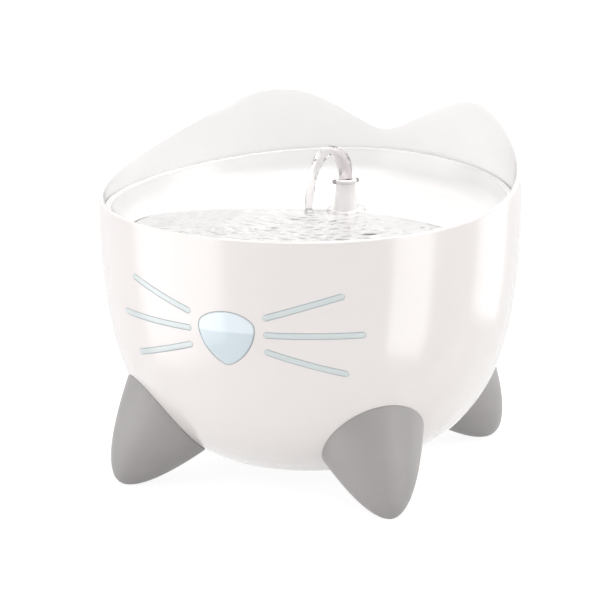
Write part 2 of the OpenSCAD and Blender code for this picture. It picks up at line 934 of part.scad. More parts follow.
module rotor_magnet() {
    color("#4E5257")
        difference() {
            along_y(can_r - free_gap, 0, axis_z, y_can + 3.2, magnet_end);
            along_y(shaft_r + run_gap, 0, axis_z, y_can, magnet_end + 1);
        }
}

module impeller() {
    y0 = magnet_end + 0.1;
    y1 = y_cover - 2.5;
    color("#DDE3E6")
        difference() {
            union() {
                along_y(3, 0, axis_z, y0, y1 + 0.5);
                along_y(impeller_r, 0, axis_z, y0 + 0.2, y0 + 1.6);
                for (i = [0:blades - 1])
                    translate([0, 0, axis_z])
                        rotate([0, 360 * i / blades, 0])
                            box([2.5, impeller_r - 0.3], [y0 + 1, y1], [-0.6, 0.6]);
            }
            along_y(shaft_r + run_gap, 0, axis_z, y0 - 1, y1 + 2);
        }
}

// Intake: a slotted cover over the chamber and a slide that closes its slots
slide_z = axis_z - 6.5;
slide_y = y_cover + 2.3;
cover_r = chamber_r + 1.6;
slot_h = 4.6;

module slots(y1, y2) {
    for (i = [-1.5:1:1.5])
        box([2 * slot_w * i - slot_w / 2, 2 * slot_w * i + slot_w / 2], [y1, y2],
            [slide_z - slot_h / 2, slide_z + slot_h / 2]);
}

module intake_cover() {
    color("#3B4046")
        difference() {
            union() {
                along_y(cover_r, 0, axis_z, y_cover + 0.1, y_cover + 2.1);
                difference() {
                    along_y(chamber_r - 0.1, 0, axis_z, y_cover - 1.4, y_cover + 0.5);
                    along_y(chamber_r - 1.3, 0, axis_z, y_cover - 3, y_cover + 0.6);
                }
                along_y(3.9, 0, axis_z, y_cover - 1.6, y_cover + 0.5);
                for (s = [-1, 1])
                    difference() {
                        box([-9.8, 9.8], [y_cover + 2, slide_y + 2.8],
                            [slide_z + 4.8 * s - 1.1, slide_z + 4.8 * s + 1.1]);
                        box([-20, 20], [y_cover + 2.1, slide_y + 1.6],
                            [slide_z - 4.4, slide_z + 4.4]);
                    }
            }
            slots(y_cover - 1, y_cover + 2.2);
            along_y(2.5, 0, axis_z, y_cover - 3, y_cover + 1.1);
        }
}

module front_bush() {
    color("#24282C")
        difference() {
            along_y(2.5 - run_gap, 0, axis_z, y_cover - 1.5, y_cover + 1);
            along_y(shaft_r + 0.03, 0, axis_z, y_cover - 2, y_cover + 0.9);
        }
}

module flow_slider() {
    color("#7FA9BF")
        difference() {
            union() {
                box([-4 * slot_w, 4 * slot_w], [slide_y, slide_y + 1.4],
                    [slide_z - 4.2, slide_z + 4.2]);
                box([-slot_w / 3, slot_w / 3], [slide_y + 1, slide_y + 4.2],
                    [slide_z - 2, slide_z + 2]);
            }
            slots(slide_y - 1, slide_y + 1.5);
        }
}

reservoir_bowl();
nose_lens();
nose_gasket();
whisker_lens_left();
whisker_lens_right();
foot_front_left();
foot_front_right();
foot_rear_left();
foot_rear_right();
cable_grommet();
drinking_tray();
spout_stem();
spout_seal();
spout_nozzle();
filter_basket();
filter_lid();
filter_fleece();
filter_carbon();
filter_foam();
pump_housing();
pump_end_cap();
pump_gasket();
stator_core();
stator_coil();
driver_board();
night_lamp();
lamp_lens();
rotor_shaft();
rear_bush();
cable_gland();
suction_cups();
riser_tube();
rotor_magnet();
impeller();
intake_cover();
front_bush();
flow_slider();
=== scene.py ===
import bisect
import math

import bmesh
import bpy
from mathutils import Matrix, Vector


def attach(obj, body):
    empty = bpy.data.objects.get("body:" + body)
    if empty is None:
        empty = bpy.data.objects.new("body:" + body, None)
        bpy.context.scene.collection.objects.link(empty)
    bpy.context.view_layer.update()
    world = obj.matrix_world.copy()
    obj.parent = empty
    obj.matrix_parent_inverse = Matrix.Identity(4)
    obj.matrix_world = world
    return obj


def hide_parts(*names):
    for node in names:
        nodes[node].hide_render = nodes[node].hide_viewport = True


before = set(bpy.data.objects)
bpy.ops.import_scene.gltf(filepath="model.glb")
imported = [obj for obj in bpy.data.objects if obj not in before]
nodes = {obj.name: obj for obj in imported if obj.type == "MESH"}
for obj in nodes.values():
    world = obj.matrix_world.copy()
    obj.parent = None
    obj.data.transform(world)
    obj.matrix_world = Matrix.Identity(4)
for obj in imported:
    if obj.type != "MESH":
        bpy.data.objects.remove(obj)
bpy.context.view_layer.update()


# Shapes are worked out in millimetres with angles from straight ahead; finish makes metres
def cubic(p, t):
    a, b, c, d = (1 - t) ** 3, 3 * t * (1 - t) ** 2, 3 * t * t * (1 - t), t ** 3
    return tuple(a * p[0][i] + b * p[1][i] + c * p[2][i] + d * p[3][i] for i in (0, 1))


def inset(p, t, depth):
    # a point of the curve moved inwards along its normal
    ax, az = cubic(p, t - 1e-4)
    bx, bz = cubic(p, t + 1e-4)
    x, z = cubic(p, t)
    n = math.hypot(bx - ax, bz - az)
    return x - depth * (bz - az) / n, z + depth * (bx - ax) / n


def tableOf(points):
    # looks up the second value by the first one, along a run of points
    keys = [p[0] for p in points]

    def look(key):
        i = min(max(bisect.bisect_left(keys, key), 1), len(keys) - 1)
        (k0, v0), (k1, v1) = points[i - 1], points[i]
        return v0 + (v1 - v0) * min(max((key - k0) / (k1 - k0), 0), 1)
    return look


def solve(test, low, high):
    # the value between low and high at which the test stops being true
    for _ in range(40):
        mid = (low + high) / 2
        low, high = (mid, high) if test(mid) else (low, mid)
    return (low + high) / 2


def spread(low, high, count, power=1.0):
    return [low + (high - low) * (i / (count - 1)) ** power for i in range(count)]


def perAngle(work):
    # remembers what was worked out for an angle
    known = {}

    def look(angle):
        key = round(angle, 6)
        if key not in known:
            known[key] = work(angle)
        return known[key]
    return look


def meshOf(bm, name):
    mesh = bpy.data.meshes.new(name)
    bm.to_mesh(mesh)
    bm.free()
    return mesh


def placed(name, data):
    thing = bpy.data.objects.new(name, data)
    bpy.context.scene.collection.objects.link(thing)
    return thing


def finish(bm, name, body, material, replaces=()):
    # turns millimetres into metres, makes the object, and puts it on its body
    bmesh.ops.remove_doubles(bm, verts=bm.verts, dist=1e-5)
    bmesh.ops.dissolve_degenerate(bm, edges=bm.edges, dist=1e-6)
    bmesh.ops.recalc_face_normals(bm, faces=bm.faces)
    bmesh.ops.scale(bm, vec=(0.001, 0.001, 0.001), verts=bm.verts)
    mesh = meshOf(bm, name)
    mesh.shade_smooth()
    mesh.materials.append(material)
    piece = placed(name, mesh)
    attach(piece, body)
    if replaces:
        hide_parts(*replaces)
    return piece


def spinRows(rows, steps, closed=False):
    # spins a chain of points about Z; each row is a function of the angle from
    # straight ahead, and gives a radius and a height, or a whole point
    bm = bmesh.new()
    layer = bm.verts.layers.int.new("row")
    chain = []
    for k in range(len(rows)):
        v = bm.verts.new((0, -10 - k, 0))  # rows place the points after the spin
        v[layer] = k
        chain.append(v)
    edges = [bm.edges.new(pair) for pair in zip(chain, chain[1:])]
    if closed:
        edges.append(bm.edges.new((chain[-1], chain[0])))
    bmesh.ops.spin(bm, geom=chain + edges, cent=(0, 0, 0), axis=(0, 0, 1), dvec=(0, 0, 0),
                   angle=2 * math.pi, steps=steps, use_merge=True, use_duplicate=False)
    for v in bm.verts:
        angle = math.atan2(v.co.x, -v.co.y)
        place = rows[v[layer]](angle)
        if len(place) == 2:
            r, z = place
            place = (r * math.sin(angle), -r * math.cos(angle), z)
        v.co = place
    return bm


def cleaned(bm):
    # closes the poles and turns the faces outwards
    bmesh.ops.remove_doubles(bm, verts=bm.verts, dist=1e-4)
    bmesh.ops.recalc_face_normals(bm, faces=bm.faces)
    return bm


def turned(profile, centre, steps, closed=True, edgeRound=0.0):
    # a lathe shape about an upright axis, with its sharp rings rounded
    bm = cleaned(spinRows([lambda a, p=p: p for p in profile], steps, closed))
    if edgeRound:
        sharp = [e for e in bm.edges if len(e.link_faces) == 2 and e.calc_face_angle(0) > 0.45]
        bmesh.ops.bevel(bm, geom=sharp, offset=edgeRound, offset_type="OFFSET",
                        affect="EDGES", segments=3, profile=0.5, material=-1,
                        clamp_overlap=True)
    bmesh.ops.translate(bm, vec=(centre[0], centre[1], 0), verts=bm.verts)
    return bm


def joined(target, source, matrix=None):
    # adds one bmesh to another
    if matrix is not None:
        bmesh.ops.transform(source, matrix=matrix, verts=source.verts)
    mesh = meshOf(source, "part")
    target.from_mesh(mesh)
    bpy.data.meshes.remove(mesh)


def cutBy(bm, cutter):
    # takes the cutter's volume out of a closed shape
    shape, knife = placed("shape", meshOf(bm, "shape")), placed("knife", meshOf(cutter, "knife"))
    modifier = shape.modifiers.new("cut", "BOOLEAN")
    modifier.operation = "DIFFERENCE"
    modifier.solver = "EXACT"
    modifier.object = knife
    depsgraph = bpy.context.evaluated_depsgraph_get()
    result = bpy.data.meshes.new_from_object(shape.evaluated_get(depsgraph))
    out = bmesh.new()
    out.from_mesh(result)
    for thing in (shape, knife):
        bpy.data.objects.remove(thing)
    bpy.data.meshes.remove(result)
    return out


def toLinear(colour):
    parts = [int(colour[i:i + 2], 16) / 255 for i in (1, 3, 5)]
    return tuple(c / 12.92 if c <= 0.04045 else ((c + 0.055) / 1.055) ** 2.4
                 for c in parts) + (1.0,)


def addNode(tree, kind, settings=None, values=None, links=None):
    node = tree.nodes.new(kind)
    for key, value in (settings or {}).items():
        setattr(node, key, value)
    for key, value in (values or {}).items():
        node.inputs[key].default_value = value
    for key, source in (links or {}).items():
        tree.links.new(source, node.inputs[key])
    return node


def newMaterial(name, values):
    material = bpy.data.materials.new(name)
    material.use_nodes = True
    tree = material.node_tree
    tree.nodes.clear()
    shader = addNode(tree, "ShaderNodeBsdfPrincipled", values=values)
    addNode(tree, "ShaderNodeOutputMaterial", links={"Surface": shader.outputs["BSDF"]})
    place = addNode(tree, "ShaderNodeTexCoord").outputs["Object"]
    return material, tree, shader, place


def either(tree, first, second):
    node = addNode(tree, "ShaderNodeMath", {"operation": "MAXIMUM"}, links={0: first, 1: second})
    return node.outputs[0]


def mixShaders(tree, amount, first, second):
    # the output shows the first shader, and the second one by the amount
    mix = addNode(tree, "ShaderNodeMixShader", links={"Fac": amount, 1: first, 2: second})
    output = next(n for n in tree.nodes if n.type.startswith("OUTPUT"))
    tree.links.new(mix.outputs["Shader"], output.inputs["Surface"])


def fadeTo(tree, shader, place, axis, low, high, colour):
    # the base colour turns into another one between two places along an axis
    base = shader.inputs["Base Color"]
    parts = addNode(tree, "ShaderNodeSeparateXYZ", links={"Vector": place})
    amount = addNode(tree, "ShaderNodeMapRange", values={"From Min": low, "From Max": high},
                     links={"Value": parts.outputs[axis]})
    mix = addNode(tree, "ShaderNodeMix", {"data_type": "RGBA"},
                  links={"Factor": amount.outputs["Result"]})
    mix.inputs["A"].default_value = base.default_value
    if base.links:
        tree.links.new(base.links[0].from_socket, mix.inputs["A"])
    mix.inputs["B"].default_value = toLinear(colour)
    tree.links.new(mix.outputs["Result"], base)


def surfaceDetail(tree, shader, place, grain, depth, roughLow, roughHigh, base, shade,
                  detail=3.0, blotch=0.03):
    # fine grain in the bump, slow change in colour and in roughness; sizes in metres
    fine = addNode(tree, "ShaderNodeTexNoise", values={"Scale": 1 / grain, "Detail": detail},
                   links={"Vector": place})
    bump = addNode(tree, "ShaderNodeBump", values={"Strength": 0.6, "Distance": depth},
                   links={"Height": fine.outputs["Fac"]})
    tree.links.new(bump.outputs["Normal"], shader.inputs["Normal"])
    slow = addNode(tree, "ShaderNodeTexNoise", values={"Scale": 1 / blotch, "Detail": 2.0},
                   links={"Vector": place})
    rough = addNode(tree, "ShaderNodeMapRange", values={"To Min": roughLow, "To Max": roughHigh},
                    links={"Value": slow.outputs["Fac"]})
    tree.links.new(rough.outputs["Result"], shader.inputs["Roughness"])
    colour = addNode(tree, "ShaderNodeMix", {"data_type": "RGBA"},
                     links={"Factor": slow.outputs["Fac"]})
    colour.inputs["A"].default_value = toLinear(base)
    colour.inputs["B"].default_value = toLinear(shade)
    tree.links.new(colour.outputs["Result"], shader.inputs["Base Color"])


# Injection-moulded ABS: near white, high gloss, faint waviness from the mould
def mouldedAbs(name, base, shade, roughLow=0.14, roughHigh=0.2):
    material, tree, shader, place = newMaterial(
        name, {"IOR": 1.5, "Coat Weight": 0.8, "Coat Roughness": 0.16})
    surfaceDetail(tree, shader, place, 0.025, 0.00012, roughLow, roughHigh, base, shade,
                  detail=1.0, blotch=0.06)
    return material


# Soft-touch TPE over-moulding: satin, fine spark-eroded grain, slight sheen
def softTouchRubber(name, base, shade, roughLow=0.42, roughHigh=0.52):
    material, tree, shader, place = newMaterial(
        name, {"IOR": 1.5, "Sheen Weight": 0.12, "Sheen Roughness": 0.5})
    # the real grain is 0.1 mm; drawn at 0.4 mm so that it shows
    surfaceDetail(tree, shader, place, 0.0004, 0.00003, roughLow, roughHigh, base, shade,
                  detail=2.0, blotch=0.02)
    return material


# Frosted polycarbonate light guide: pale ice blue, glossy skin, cloudy inside; given a fade,
# it is painted whiter from a height on: a painted reflection of the lamps on its upper part
def frostedPolycarbonate(name, base, shade, paintedHighlight=None):
    material, tree, shader, place = newMaterial(
        name, {"IOR": 1.585, "Coat Weight": 0.5, "Coat Roughness": 0.05,
               "Subsurface Weight": 0.25, "Subsurface Radius": (0.9, 1.0, 1.1),
               "Subsurface Scale": 0.002})
    surfaceDetail(tree, shader, place, 0.006, 0.00004, 0.1, 0.16, base, shade)
    if paintedHighlight:
        fadeTo(tree, shader, place, "Z", *paintedHighlight)
    return material


# Clean tap water: clear and smooth, with fine wavelets on it; a running stream has long
# streaks along its fall, and is painted darker where it leaves the spout: painted shade of the
# dark mouth seen through it
def tapWater(name, tint, waves, depth, paintedShade=None):
    material, tree, shader, place = newMaterial(
        name, {"Base Color": toLinear(tint), "IOR": 1.333, "Roughness": 0.0,
               "Transmission Weight": 1.0})
    along = addNode(tree, "ShaderNodeMapping", values={"Scale": waves},
                    links={"Vector": place})
    noise = addNode(tree, "ShaderNodeTexNoise", values={"Scale": 1.0, "Detail": 2.0},
                    links={"Vector": along.outputs["Vector"]})
    bump = addNode(tree, "ShaderNodeBump", values={"Strength": 1.0, "Distance": depth},
                   links={"Height": noise.outputs["Fac"]})
    tree.links.new(bump.outputs["Normal"], shader.inputs["Normal"])
    if paintedShade:
        fadeTo(tree, shader, place, "X", *paintedShade)
    # nearly all light passes, so that the water throws only a faint shadow
    clear = addNode(tree, "ShaderNodeBsdfTransparent", values={"Color": toLinear("#F6F6F6")})
    path = addNode(tree, "ShaderNodeLightPath")
    mixShaders(tree, path.outputs["Is Shadow Ray"], shader.outputs["BSDF"], clear.outputs["BSDF"])
    return material


# Plain parts of one even finish, with a fine grain
def plainPart(name, base, shade, rough, transmission=0.0, blotch=0.01):
    material, tree, shader, place = newMaterial(
        name, {"IOR": 1.5, "Transmission Weight": transmission})
    surfaceDetail(tree, shader, place, 0.0006, 0.00003, rough * 0.85, rough * 1.15, base, shade,
                  blotch=blotch)
    return material


# Metal in thin layers along Y, drawn coarser than it is so that the lines show: 0.5 mm
# steel laminations at 2 mm, and 0.5 mm enamelled copper wire, wound a little unevenly, at 1 mm
def layeredMetal(name, base, shade, pitch, grain, rough, strength, depth, coat=0.0, uneven=0.0):
    material, tree, shader, place = newMaterial(name, {"Metallic": 1.0, "Coat Weight": coat})
    surfaceDetail(tree, shader, place, grain, 0.00002, rough, rough + 0.1, base, shade)
    # at a scale of 1 the texture's bands are 2 pi / 20 apart
    layers = addNode(tree, "ShaderNodeTexWave", {"bands_direction": "Y"},
                     {"Scale": math.pi / 10 / pitch, "Distortion": uneven}, {"Vector": place})
    bump = addNode(tree, "ShaderNodeBump", values={"Strength": strength, "Distance": depth},
                   links={"Height": layers.outputs["Fac"]})
    tree.links.new(bump.outputs["Normal"], shader.inputs["Normal"])
    return material


# Filter pads: cells of foam, granules of carbon, felted fibres of fleece
def filterPad(name, base, shade, cell, depth):
    material, tree, shader, place = newMaterial(name, {"IOR": 1.45})
    surfaceDetail(tree, shader, place, cell, depth, 0.85, 0.95, base, shade, blotch=cell * 2)
    cells = addNode(tree, "ShaderNodeTexVoronoi", values={"Scale": 1 / cell},
                    links={"Vector": place})
    bump = addNode(tree, "ShaderNodeBump", values={"Strength": 1.0, "Distance": depth},
                   links={"Height": cells.outputs["Distance"]})
    tree.links.new(bump.outputs["Normal"], shader.inputs["Normal"])
    return material


shellWhite = mouldedAbs("moulded_abs_shell", "#EBE6E4", "#E9E3E1")
# whiter copy of the shell's ABS for the ear wall's inner face: painted light
earWallPaintedLight = mouldedAbs("moulded_abs_ear_wall_painted_light", "#FBFAF9", "#F9F8F7")
trayWhite = mouldedAbs("moulded_abs_tray", "#E9E7E6", "#E6E4E3")
spoutWhite = mouldedAbs("moulded_abs_spout", "#FAF7F6", "#F7F4F3", 0.22, 0.3)
collarGrey = plainPart("moulded_polypropylene_collar", "#EAE6E6", "#E4E0E0", 0.3)
# dark grey for the inside of the nozzle's mouth: painted shade of the deep hole
borePaintedShade = plainPart("moulded_polypropylene_bore_painted_shade", "#6F686A", "#676062", 0.4)
# grey for the small pull lugs: painted shade of their edges and hole
lugPaintedShade = plainPart("moulded_polypropylene_lug_painted_shade", "#8F8A8A", "#878282", 0.35)
lensIce = frostedPolycarbonate("frosted_polycarbonate", "#DCE9EF", "#D8E6ED")
# the nose turns lighter towards its top: a painted reflection of the lamps on its upper half
noseIce = frostedPolycarbonate("frosted_polycarbonate_nose_painted_highlight", "#D2DFE5", "#CFDCE3",
                              (0.1006, 0.102, "#E5EFF6"))
whiskerIce = frostedPolycarbonate("frosted_polycarbonate_bar", "#E9F1F2", "#E3EDEF")
# grey for the line round each whisker bar: painted shadow of the gap
gapPaintedShadow = softTouchRubber("parting_gap_painted_shadow", "#A7B1B5", "#A0ABAF", 0.6, 0.7)
footGrey = softTouchRubber("soft_touch_tpe", "#A3A09F", "#9A9796")
sealGrey = softTouchRubber("moulded_silicone_seal", "#8D999F", "#859197", 0.5, 0.6)
water = tapWater("tap_water", "#F3F3F3", (260, 260, 260), 0.0002)
# the stream turns darker near the spout: painted shade of the dark mouth seen through it
streamWater = tapWater("running_tap_water", "#F3F1F1", (600, 600, 60), 0.0009,
                       (-0.009, -0.001, "#DCD5D7"))
darkSeal = softTouchRubber("moulded_nitrile", "#2E3133", "#26292B", 0.5, 0.6)
grommetGrey = softTouchRubber("moulded_silicone_grommet", "#B9B8B8", "#B0AFAF", 0.45, 0.55)
cupGrey = softTouchRubber("moulded_pvc_cup", "#6E7376", "#63686B", 0.25, 0.35)
pumpDark = plainPart("moulded_nylon_housing", "#3B4046", "#33383D", 0.45)
filterClear = plainPart("clear_polypropylene", "#DCE2E4", "#D2D9DC", 0.25, transmission=0.35)
bladeWhite = plainPart("moulded_acetal_blade", "#DDE3E6", "#D3DADD", 0.35)
sliderBlue = plainPart("moulded_acetal_slider", "#7FA9BF", "#749EB4", 0.35)
boardGreen = plainPart("solder_mask_board", "#2F6B45", "#285C3B", 0.3, blotch=0.004)
lampWarm = plainPart("epoxy_lamp_body", "#F4F1D8", "#EFE9C4", 0.12, transmission=0.5)
ceramicWhite = plainPart("ground_alumina_shaft", "#E4E4E0", "#DADAD5", 0.2)
ferriteGrey = plainPart("sintered_ferrite", "#4E5257", "#44484D", 0.5, blotch=0.003)
coreSteel = layeredMetal("laminated_steel", "#8F9398", "#7E8186", 0.001974, 0.001, 0.3, 0.7,
                         0.00012)
coilCopper = layeredMetal("enamelled_copper", "#B8703A", "#9C5629", 0.000987, 0.002, 0.25, 0.9,
                          0.0002, coat=0.6, uneven=0.4)
foamBlue = filterPad("open_cell_foam", "#7E8B93", "#6A7780", 0.0018, 0.0006)
carbonBlack = filterPad("carbon_granules", "#3A3C3E", "#232425", 0.0022, 0.0009)
fleeceWhite = filterPad("felted_fleece", "#EDEDEB", "#DEDEDA", 0.0009, 0.0003)
print("materials made")

bowl = {"radius": 115.0, "rimZ": 149.95, "baseR": 57.3, "baseZ": 12.3, "baseSlope": 28.9,
        "pull": 30.5, "shoulderZ": 40.1, "wall": 2.4, "bellyDrop": 0.75,
        # the wall leans in between two heights above the belly
        "earLean": 1.6, "leanFrom": 13, "leanTo": 21, "leanBack": 0.2,
        # outline seen from the side, with its two pulls, and from behind
        "earHeight": 43.65, "earY": 99.2, "sideY": 63.7, "sideRise": 4.35, "sideBend": 72,
        "dipHeight": 21.35, "dipPull": 12.8, "earX": 57.4, "earPull": 19, "earSoft": 0.15,
        "outlineR": 114.0, "crossDrop": 0.25, "crossRun": 0.5,
        "ledgeDrop": 10.75, "ledgeR": 109.0, "ledgeEdge": 0.5,
        "boreR": 112.0, "boreShift": 0.8, "columns": 288,
        # radius of the underside, and how far it is hollowed there
        "underside": [(0, 0.6), (25, 0.6), (45, 0.6), (50.6, 0.6), (51.3, 0.5), (51.9, 0.1),
                      (52.4, 0), (55.8, 0), (56.8, 0.04)]}
bellyZ = bowl["rimZ"] - bowl["bellyDrop"]
earZ = bowl["rimZ"] + bowl["earHeight"]
backZ = earZ - bowl["earSoft"]
dipZ = bowl["rimZ"] + bowl["dipHeight"]
ledgeZ = bowl["rimZ"] - bowl["ledgeDrop"]
slope = math.radians(bowl["baseSlope"])
lowerCurve = [(bowl["baseR"], bowl["baseZ"]),
              (bowl["baseR"] + bowl["pull"] * math.cos(slope),
               bowl["baseZ"] + bowl["pull"] * math.sin(slope)),
              (bowl["radius"], bowl["shoulderZ"]), (bowl["radius"], bellyZ)]
upperCurve = [(bowl["radius"], bellyZ), (bowl["radius"], bellyZ + bowl["leanFrom"]),
              (bowl["radius"] - bowl["earLean"], bellyZ + bowl["leanTo"]),
              (bowl["radius"] - bowl["earLean"] + bowl["leanBack"], earZ + 2)]
samples = [i / 300 for i in range(301)]
outerR = tableOf([tuple(reversed(cubic(lowerCurve, t))) for t in samples]
                 + [tuple(reversed(cubic(upperCurve, t))) for t in samples[1:]])
innerR = tableOf([tuple(reversed(inset(lowerCurve, t, bowl["wall"]))) for t in samples[:-1]])
floorZ = inset(lowerCurve, 0, bowl["wall"])[1]
sideCurve = [(-bowl["radius"], bowl["rimZ"]), (bowl["sideY"], bowl["rimZ"] + bowl["sideRise"]),
             (bowl["sideBend"], earZ), (bowl["earY"], earZ)]
backCurve = [(0, dipZ), (bowl["dipPull"], dipZ), (bowl["earX"] - bowl["earPull"], backZ),
             (bowl["earX"], backZ)]
sideView = tableOf([cubic(sideCurve, t) for t in samples])
backView = tableOf([cubic(backCurve, t) for t in samples])


def rimHeight(angle):
    # height of the bowl's rim at an angle from straight ahead
    x, y = bowl["outlineR"] * math.sin(angle), -bowl["outlineR"] * math.cos(angle)
    side = earZ if y > bowl["earY"] else sideView(y)
    back = backZ if abs(x) > bowl["earX"] else backView(abs(x))
    # the two outlines run into each other with a small round
    return min(side, back) - bowl["crossDrop"] * math.exp(-abs(side - back) / bowl["crossRun"])


def boreR(angle):
    c = bowl["boreShift"] * math.cos(angle)
    return c + math.sqrt(bowl["boreR"] ** 2 - bowl["boreShift"] ** 2 + c * c)


def wallTop(angle):
    # middle of the rim's round, and its half width
    top = rimHeight(angle)
    half = (outerR(top - bowl["wall"] / 2) - boreR(angle)) / 2
    return top - half, half


def bowlRows():
    fixed = [(r, bowl["baseZ"] + hollow) for r, hollow in bowl["underside"]]
    t = 0.012
    while cubic(lowerCurve, t)[1] < ledgeZ - 1:
        fixed.append(cubic(lowerCurve, t))
        t += 0.0125
    rows = [lambda a, p=p: p for p in fixed]
    for f in spread(0, 1, 24):
        def outside(a, f=f):
            z = ledgeZ + f * (wallTop(a)[0] - ledgeZ)
            return outerR(z), z
        rows.append(outside)
    for i in range(1, 9):
        def lip(a, turn=math.pi * i / 9):
            centre, half = wallTop(a)
            middle = outerR(centre) - half
            return middle + half * math.cos(turn), centre + half * math.sin(turn)
        rows.append(lip)
    for f in spread(1, 0.02, 20):
        def inside(a, f=f):
            centre, half = wallTop(a)
            return (boreR(a) + (outerR(centre) - 2 * half - boreR(a)) * f ** 8,
                    ledgeZ + f * (centre - ledgeZ))
        rows.append(inside)
    rows.append(lambda a: (boreR(a) - 0.15, ledgeZ + 0.03))
    # the ledge that the tray sits on, the slope under it, the inner wall and the floor
    fixed = [(bowl["ledgeR"] + bowl["ledgeEdge"], ledgeZ),
             (bowl["ledgeR"], ledgeZ - bowl["ledgeEdge"]), (bowl["ledgeR"], ledgeZ - 2.5)]
    fixed += [(innerR(z), z) for z in spread(ledgeZ - 8.6, floorZ + 0.3, 60)]
    fixed += [(54, floorZ), (30, floorZ), (0, floorZ)]
    return rows + [lambda a, p=p: p for p in fixed]


bowlShape = spinRows(bowlRows(), bowl["columns"])
for f in bowlShape.faces:
    # the ear wall's inner face is painted whiter: painted light, for the brighter light inside
    # the bowl
    middle = f.calc_center_median()
    inside = math.hypot(middle.x, middle.y) < outerR(middle.z) - bowl["wall"] + 0.5
    f.material_index = 1 if inside and middle.z > ledgeZ else 0
bowlShell = finish(bowlShape, "bowl_shell", "base", shellWhite,
                   ("reservoir_bowl",))
bowlShell.data.materials.append(earWallPaintedLight)
print("bowl made")

foot = {"frontR": 111.9, "frontAngle": 45.2, "rearR": 118.7, "rearAngle": 139.5, "lean": 39.6,
        "tipZ": 1.44, "edge": 0.8, "gap": 0.12, "columns": 96,
        "r40": 26.9, "taper": 0.537}  # radius at 40 mm from the tip, and its growth


def footPiece(tipR, heading, name, node):
    lean = math.radians(foot["lean"])
    frameOfFoot = (Matrix.Rotation(math.radians(heading), 4, "Z")
                   @ Matrix.Translation((0, -tipR, foot["tipZ"]))
                   @ Matrix.Rotation(-lean, 4, "X"))

    def girth(s):
        return foot["r40"] * (max(s, 0) / 40) ** foot["taper"]

    def at(s, r, a):
        return frameOfFoot @ Vector((r * math.sin(a), -r * math.cos(a), s))

    def outside(p):
        return math.hypot(p.x, p.y) > outerR(p.z) + foot["gap"]

    @perAngle
    def hit(a):
        # how far up the foot's skin meets the bowl
        return solve(lambda s: outside(at(s, girth(s), a)), 8, 68)

    core = at(solve(lambda s: outside(at(s, 0, 0)), 10, 68), 0, 0)
    rows = [lambda a: at(0, 0, a)]
    for f in spread(0.012, 1, 40, 1.8):
        def skin(a, f=f):
            s = f * (hit(a) - foot["edge"])
            return at(s, girth(s), a)
        rows.append(skin)
    for i in range(1, 5):
        def edge(a, turn=math.pi / 8 * i):
            s = hit(a) - foot["edge"] * (1 - math.sin(turn))
            return at(s, girth(s) - foot["edge"] * (1 - math.cos(turn)), a)
        rows.append(edge)
    for f in (0.8, 0.5, 0.25, 0):
        def cap(a, f=f):
            p = core.lerp(at(hit(a), girth(hit(a)) - foot["edge"], a), f)
            r = (outerR(p.z) + foot["gap"]) / math.hypot(p.x, p.y)
            return Vector((p.x * r, p.y * r, p.z))
        rows.append(cap)
    bm = spinRows(rows, foot["columns"])
    for v in bm.verts:
        v.co.z = max(v.co.z, 0)  # worn-in flat pad
    return finish(bm, name, "base", footGrey, (node,))


for end in ("front", "rear"):
    for turn, side in ((-1, "left"), (1, "right")):
        footPiece(foot[end + "R"], turn * foot[end + "Angle"], f"foot_cone_{end}_{side}",
                  f"foot_{end}_{side}")
print("feet made")

face = {"noseW": 31.6, "noseH": 29.4, "noseZ": 98.8, "point": 1.45, "tip": 0.15, "proud": 1.4,
        "domeR": 70.0, "ring": 0.42, "barW": 3.2, "barIn": 20.2, "barOut": 59.2,
        "barMidOut": 67.8, "up": 2.0, "near": 8.8, "far": 21.3, "barProud": 0.15, "gapW": 0.16,
        "barDepth": 1.9, "flange": 2.2, "flangeT": 1.6, "sealOut": 2.6, "plateEdge": 3}


def noseOutline(angle, grow=0.0):
    # rounded triangle with its point down, from its distance to its tangents
    b = 3 * (angle - math.radians(30))
    h = (face["noseW"] / 2 + grow + face["point"] * math.cos(b)
         - face["tip"] * (1 - math.cos(4 * angle)))
    g = -3 * face["point"] * math.sin(b) - 4 * face["tip"] * math.sin(4 * angle)
    x = h * math.cos(angle) - g * math.sin(angle)
    z = h * math.sin(angle) + g * math.cos(angle)
    return x, face["noseZ"] + z * face["noseH"] / face["noseW"]


def frontOf(x, z, depth=0.0):
    # the bowl's front face at a place seen from ahead, minus a depth
    r = outerR(z) - depth
    return -math.sqrt(r * r - x * x)


# the nose leans as the bowl's face does there
noseTilt = math.atan((outerR(face["noseZ"] + 8) - outerR(face["noseZ"] - 8)) / 16)
domeC = Vector((0, -outerR(face["noseZ"]) + (face["domeR"] - face["proud"]) * math.cos(noseTilt),
                face["noseZ"] + (face["domeR"] - face["proud"]) * math.sin(noseTilt)))


def domeY(x, z):
    return domeC.y - math.sqrt(face["domeR"] ** 2 - x * x - (z - domeC.z) ** 2)


